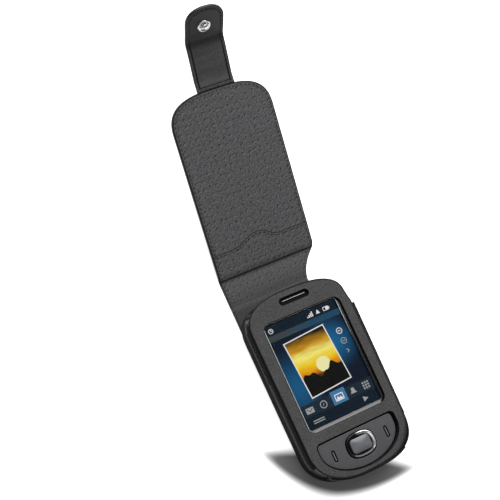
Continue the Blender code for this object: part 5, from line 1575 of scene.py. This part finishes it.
def dock_icons(white, pale):
    """A letter, a compass, a frame, a bell and a grid along the dock, and two marks in the bar below."""
    y = 9.3
    fold = [(3.1, 1.1), (4.8, -0.3), (6.5, 1.1), (6.5, 0.6), (4.8, -0.8), (3.1, 0.6)]
    layer("letter_icon", [tile(2.6, y - 1.5, 4.4, 3.0, 0.2), shape(moved(fold, 0, y))], 2, pale)
    layer("globe_icon", [disc(12.8, y, 2.0), disc(12.8, y, 1.55)], 2, pale)
    needle = [(12.3, -0.9), (13.1, 0.1), (13.3, 0.9), (12.5, -0.1)]
    layer("globe_needle", [shape(moved(needle, 0, y))], 2, pale)
    layer("frame_icon", [tile(19.7, y - 1.6, 5.0, 3.6, 0.3), tile(20.2, y - 1.1, 4.0, 2.6, 0.1)], 3, white)
    hills = [(20.3, -1.0), (24.1, -1.0), (22.9, 0.5), (22.2, -0.3), (21.4, 0.9)]
    layer("frame_hills", [shape(moved(hills, 0, y))], 3, white)
    bell = [(28.6, -1.2), (32.4, -1.2), (31.6, -0.2), (31.3, 1.7), (29.7, 1.7), (29.4, -0.2)]
    layer("bell_body", [shape(moved(bell, 0, y))], 2, pale)
    for column in range(3):
        for row in range(3):
            dot = tile(36.4 + 1.4 * column, y - 1.8 + 1.4 * row, 0.95, 0.95, 0.15)
            layer(f"grid_dot_{3 * row + column + 1}", [dot], 2, pale)
    for name, low in (("menu_left", 2.2), ("menu_left_2", 3.3)):
        layer(name, [tile(4.0, low, 6.4, 0.5, 0.1)], 2, pale)
    layer("play_mark", [shape([(33.8, 1.8), (36.6, 3.2), (33.8, 4.6)])], 2, pale)


def side_icons(white, pale):
    """Two round marks and an arrow beside the picture."""
    for name, y, tone in (("plus", 40.4, white), ("minus", 34.8, pale)):
        layer(f"{name}_ring", [disc(37.6, y, 1.7), disc(37.6, y, 1.3)], 2, tone)
        layer(f"{name}_mark", [tile(36.8, y - 0.2, 1.6, 0.4, 0.05)], 2, tone)
    arrow = [(37.0, 28.0), (38.4, 29.3), (37.0, 30.6), (37.0, 30.0), (37.7, 29.3), (37.0, 28.6)]
    layer("next_mark", [shape(arrow)], 2, pale)


def picture(white, black):
    """A snapshot of a sunset over hills, in a white border."""
    half, foot = PICTURE_WIDTH / 2, -PICTURE_HEIGHT / 2

    def tilted(points):
        turn = Matrix.Rotation(PICTURE_TILT, 2)
        return shape([PICTURE_PLACE + turn @ Vector(point) for point in points])

    def sheet(border):
        x, y = half + border, -foot + border
        return tilted([(-x, -y), (x, -y), (x, y), (-x, y)])

    layer("snapshot_border", [sheet(PICTURE_BORDER)], 2, white)
    low_y, high_y = (on_screen(0, PICTURE_PLACE.y + rise)[1] for rise in (-PICTURE_FADE, PICTURE_FADE))
    layer("snapshot_sky", [sheet(0)], 3, picture_glow(low_y, high_y))
    angles = [math.tau * step / SUN_STEPS for step in range(SUN_STEPS)]
    sun = [SUN_PLACE + SUN_RADIUS * Vector((math.cos(angle), math.sin(angle))) for angle in angles]
    layer("snapshot_sun", [tilted(sun)], 4, flat_glow("lit_sun", (0.95, 0.9, 0.45, 1.0)))
    ridge = []
    for step in range(RIDGE_STEPS + 1):
        height = -5.5 + 1.9 * math.sin(step * 0.42) + 0.9 * math.sin(step * 1.1)
        ridge.append((PICTURE_WIDTH * step / RIDGE_STEPS - half, height))
    layer("snapshot_hills", [tilted([(-half, foot), (half, foot)] + ridge[::-1])], 5, black)


# Stage

FLOOR_SIZE = 4.0
FLOOR_DROP = 0.05 * MM
FLOOR_TONE = 0.8
FLOOR_GLOW = 0.75
# The shadow painted on the floor is a bowed lens: its middle, right end and foot, its shape, and where it
# fades
SHADOW_CENTRE = Vector((-10.8, -42.9)) * MM
SHADOW_RIGHT = Vector((14.6, -57.0)) * MM
SHADOW_FOOT = Vector((-14.1, -47.2)) * MM
SHADOW_BOW = 0.63
SHADOW_POWER = 1.7
SHADOW_TIP = 0.3
SHADOW_CORE = 1.2
SHADOW_RIM = 2.27
SHADOW_TONE = 0.12
SHADOW_GLOW = 0.042
WORLD_LIGHT = 0.18
WORLD_SEEN = 1.0
# Each lamp: name, place, aim, size and power
LAMPS = [
    ("key", (0.45, 0.85, 0.95), (0.0, 0.0, 0.0), 1.4, 36.0),
    ("fill", (-0.5, -0.45, 0.9), (0.0, 0.04, 0.0), 0.9, 2.0),
]
# Viewpoint, fitted to the straight edges of the case
VIEW_PLACE = Vector((-0.17275, -0.00719, 0.49048))
VIEW_RIGHT = Vector((0.8822, -0.4119, 0.2282))
VIEW_UP = Vector((0.3467, 0.8961, 0.2773))
VIEW_LENS = 70.25
VIEW_SENSOR = 36.0
VIEW_CLIP = 0.01


def backdrop():
    """A wide white floor, with a soft dark shadow painted under the handheld's lower end."""
    floor = bmesh.new()
    bmesh.ops.create_grid(floor, x_segments=1, y_segments=1, size=FLOOR_SIZE)
    paint = Paint("floor_white")
    place = paint.place()
    across = paint.axis(place, 0) - SHADOW_CENTRE.x
    along = paint.axis(place, 1) - SHADOW_CENTRE.y
    wide, tall = SHADOW_RIGHT - SHADOW_CENTRE, SHADOW_FOOT - SHADOW_CENTRE
    area = wide.x * tall.y - wide.y * tall.x
    right = (across * tall.y - along * tall.x) / area
    below = (along * wide.x - across * wide.y) / area
    down = below - SHADOW_BOW * (1.0 - right * right)
    length = paint.maths("POWER", paint.maths("ABSOLUTE", right, 0.0), SHADOW_POWER)
    width = paint.maths("SQRT", down * down + SHADOW_TIP**2, 0.0) - SHADOW_TIP
    # Painted shadow: how far each point of the floor is painted dark
    dark = 1.0 - paint.step(length + width, SHADOW_CORE, SHADOW_RIM)
    rays = paint.node("LightPath", {}, {}, output=0)
    glossy = paint.node("LightPath", {}, {}, output=3)
    through = paint.node("LightPath", {}, {}, output=6)
    seen = paint.maths("MINIMUM", rays + glossy + through, 1.0)
    material = paint.finish({
        "Base Color": paint.mix(dark, grey(FLOOR_TONE), grey(SHADOW_TONE)),
        "Roughness": 0.9,
        "Specular IOR Level": 0.0,
        "Emission Color": paint.mix(seen * (1.0 - dark), grey(SHADOW_GLOW), grey(1.0)),
        "Emission Strength": FLOOR_GLOW,
    })
    obj = new_object("floor", floor, material)
    obj.location.z = -FLOOR_DROP


def world():
    """White all round, which the camera sees brighter than it lights the part."""
    sky = bpy.data.worlds.new("studio")
    sky.use_nodes = True
    tree = sky.node_tree
    back = tree.nodes["Background"]
    back.inputs["Color"].default_value = grey(1.0)
    path = tree.nodes.new("ShaderNodeLightPath")
    seen = tree.nodes.new("ShaderNodeMath")
    seen.operation = "MULTIPLY_ADD"
    tree.links.new(path.outputs["Is Camera Ray"], seen.inputs[0])
    seen.inputs[1].default_value = WORLD_SEEN - WORLD_LIGHT
    seen.inputs[2].default_value = WORLD_LIGHT
    tree.links.new(seen.outputs[0], back.inputs["Strength"])
    bpy.context.scene.world = sky


def lamp(name, place, aim, size, power):
    light = bpy.data.lights.new(name, "AREA")
    light.shape = "SQUARE"
    light.size = size
    light.energy = power
    obj = bpy.data.objects.new(name, light)
    bpy.context.scene.collection.objects.link(obj)
    obj.location = place
    obj.rotation_euler = (Vector(aim) - Vector(place)).to_track_quat("-Z", "Y").to_euler()


def camera():
    """The camera, set at the photograph's viewpoint."""
    data = bpy.data.cameras.new("camera")
    data.lens = VIEW_LENS
    data.sensor_width = VIEW_SENSOR
    data.clip_start = VIEW_CLIP
    obj = bpy.data.objects.new("camera", data)
    bpy.context.scene.collection.objects.link(obj)
    turn = Matrix((VIEW_RIGHT, VIEW_UP, VIEW_RIGHT.cross(VIEW_UP))).transposed().to_4x4()
    obj.matrix_world = Matrix.Translation(VIEW_PLACE) @ turn
    bpy.context.scene.camera = obj


def carried_over(finishes):
    """Finishes for the solids that stay in view or inside."""
    by_slot = {
        "black_plastic": "black_plastic",
        "soft_plastic": "soft_plastic",
        "silver_plastic": "silver",
        "chrome": "chrome",
        "steel": "steel",
        "rubber": "rubber",
        "circuit_board": "board_green",
        "battery": "battery_wrap",
        "display": "gloss_black",
        "screen_glass": "clear_panel",
        "black_leather": "front_leather",
        "grey_lining": "lining",
        "stiff_board": "fibre_board",
    }
    for part in frame["record"]["subparts"]:
        mesh = frame["nodes"][part["node"]].data
        mesh.materials.clear()
        mesh.materials.append(finishes[by_slot[part["material_slot"]]])


def make_finishes():
    """Every finish by its name, for the pieces and the solids."""
    return {
        "front_leather": leather("front_leather", grey(0.016), grey(0.078), grey(0.002), 0.65, 0.06),
        "side_leather": leather("side_leather", grey(0.007), grey(0.018), grey(0.01), 0.85, 0.03, WALL_HIGHLIGHT_BANDS),
        "outer_leather": leather("outer_leather", grey(0.012), grey(0.026), grey(0.005), 0.42, 0.4),
        "strap_leather": leather(
            "strap_leather", grey(0.031), grey(0.076), grey(0.003), 0.55, 0.3, creased=1.0
        ),
        "lining": lining_leather(),
        "thread": thread("black_thread", grey(0.005)),
        "soft_plastic": moulded("soft_grey_plastic", (0.042, 0.042, 0.046, 1.0), 0.42),
        "black_plastic": moulded("black_plastic", grey(0.012), 0.4),
        "gloss_black": moulded("gloss_black", grey(0.006), 0.18),
        # Near-black with little gloss for gaps and recesses: partly their own dark colour, partly painted
        # shade
        "recess_shade_black": moulded("recess_shade_black", grey(0.0025), 0.6, gloss=0.05),
        "silver": moulded("silver_paint", grey(0.42), 0.3, 0.02),
        "rubber": moulded("keypad_rubber", grey(0.03), 0.75),
        "board_green": moulded("board_green", (0.015, 0.1, 0.04, 1.0), 0.45),
        "battery_wrap": moulded("battery_wrap", grey(0.16), 0.5),
        "fibre_board": moulded("fibre_board", (0.3, 0.26, 0.2, 1.0), 0.9),
        "key_plastic": moulded("key_plastic", (0.085, 0.086, 0.095, 1.0), 0.34),
        "chrome": metal("chrome", grey(0.62), 0.2),
        "steel": metal("steel", grey(0.55), 0.32, brushed=True),
        "trim_silver": trim_silver(),
        "painted_highlight_chrome": painted_highlight_chrome(),
        "clear_panel": clear_panel(),
    }


finishes = make_finishes()
carried_over(finishes)
holder_front(finishes["front_leather"])
holder_walls(finishes["side_leather"])
wall_stitching(finishes["thread"])
outer_leather(finishes["outer_leather"])
flap_lining(finishes["lining"])
cover_pad(finishes["outer_leather"])
strap(finishes["strap_leather"])
stud(finishes["chrome"])
flap_stitching(finishes["thread"])
keypad_panel(finishes)
navigation_pad(finishes)
side_keys(finishes)
display_frame(finishes)
ear_slot(finishes)
screen()
backdrop()
world()
for row in LAMPS:
    lamp(*row)
camera()

bpy.context.scene.view_settings.view_transform = "Standard"
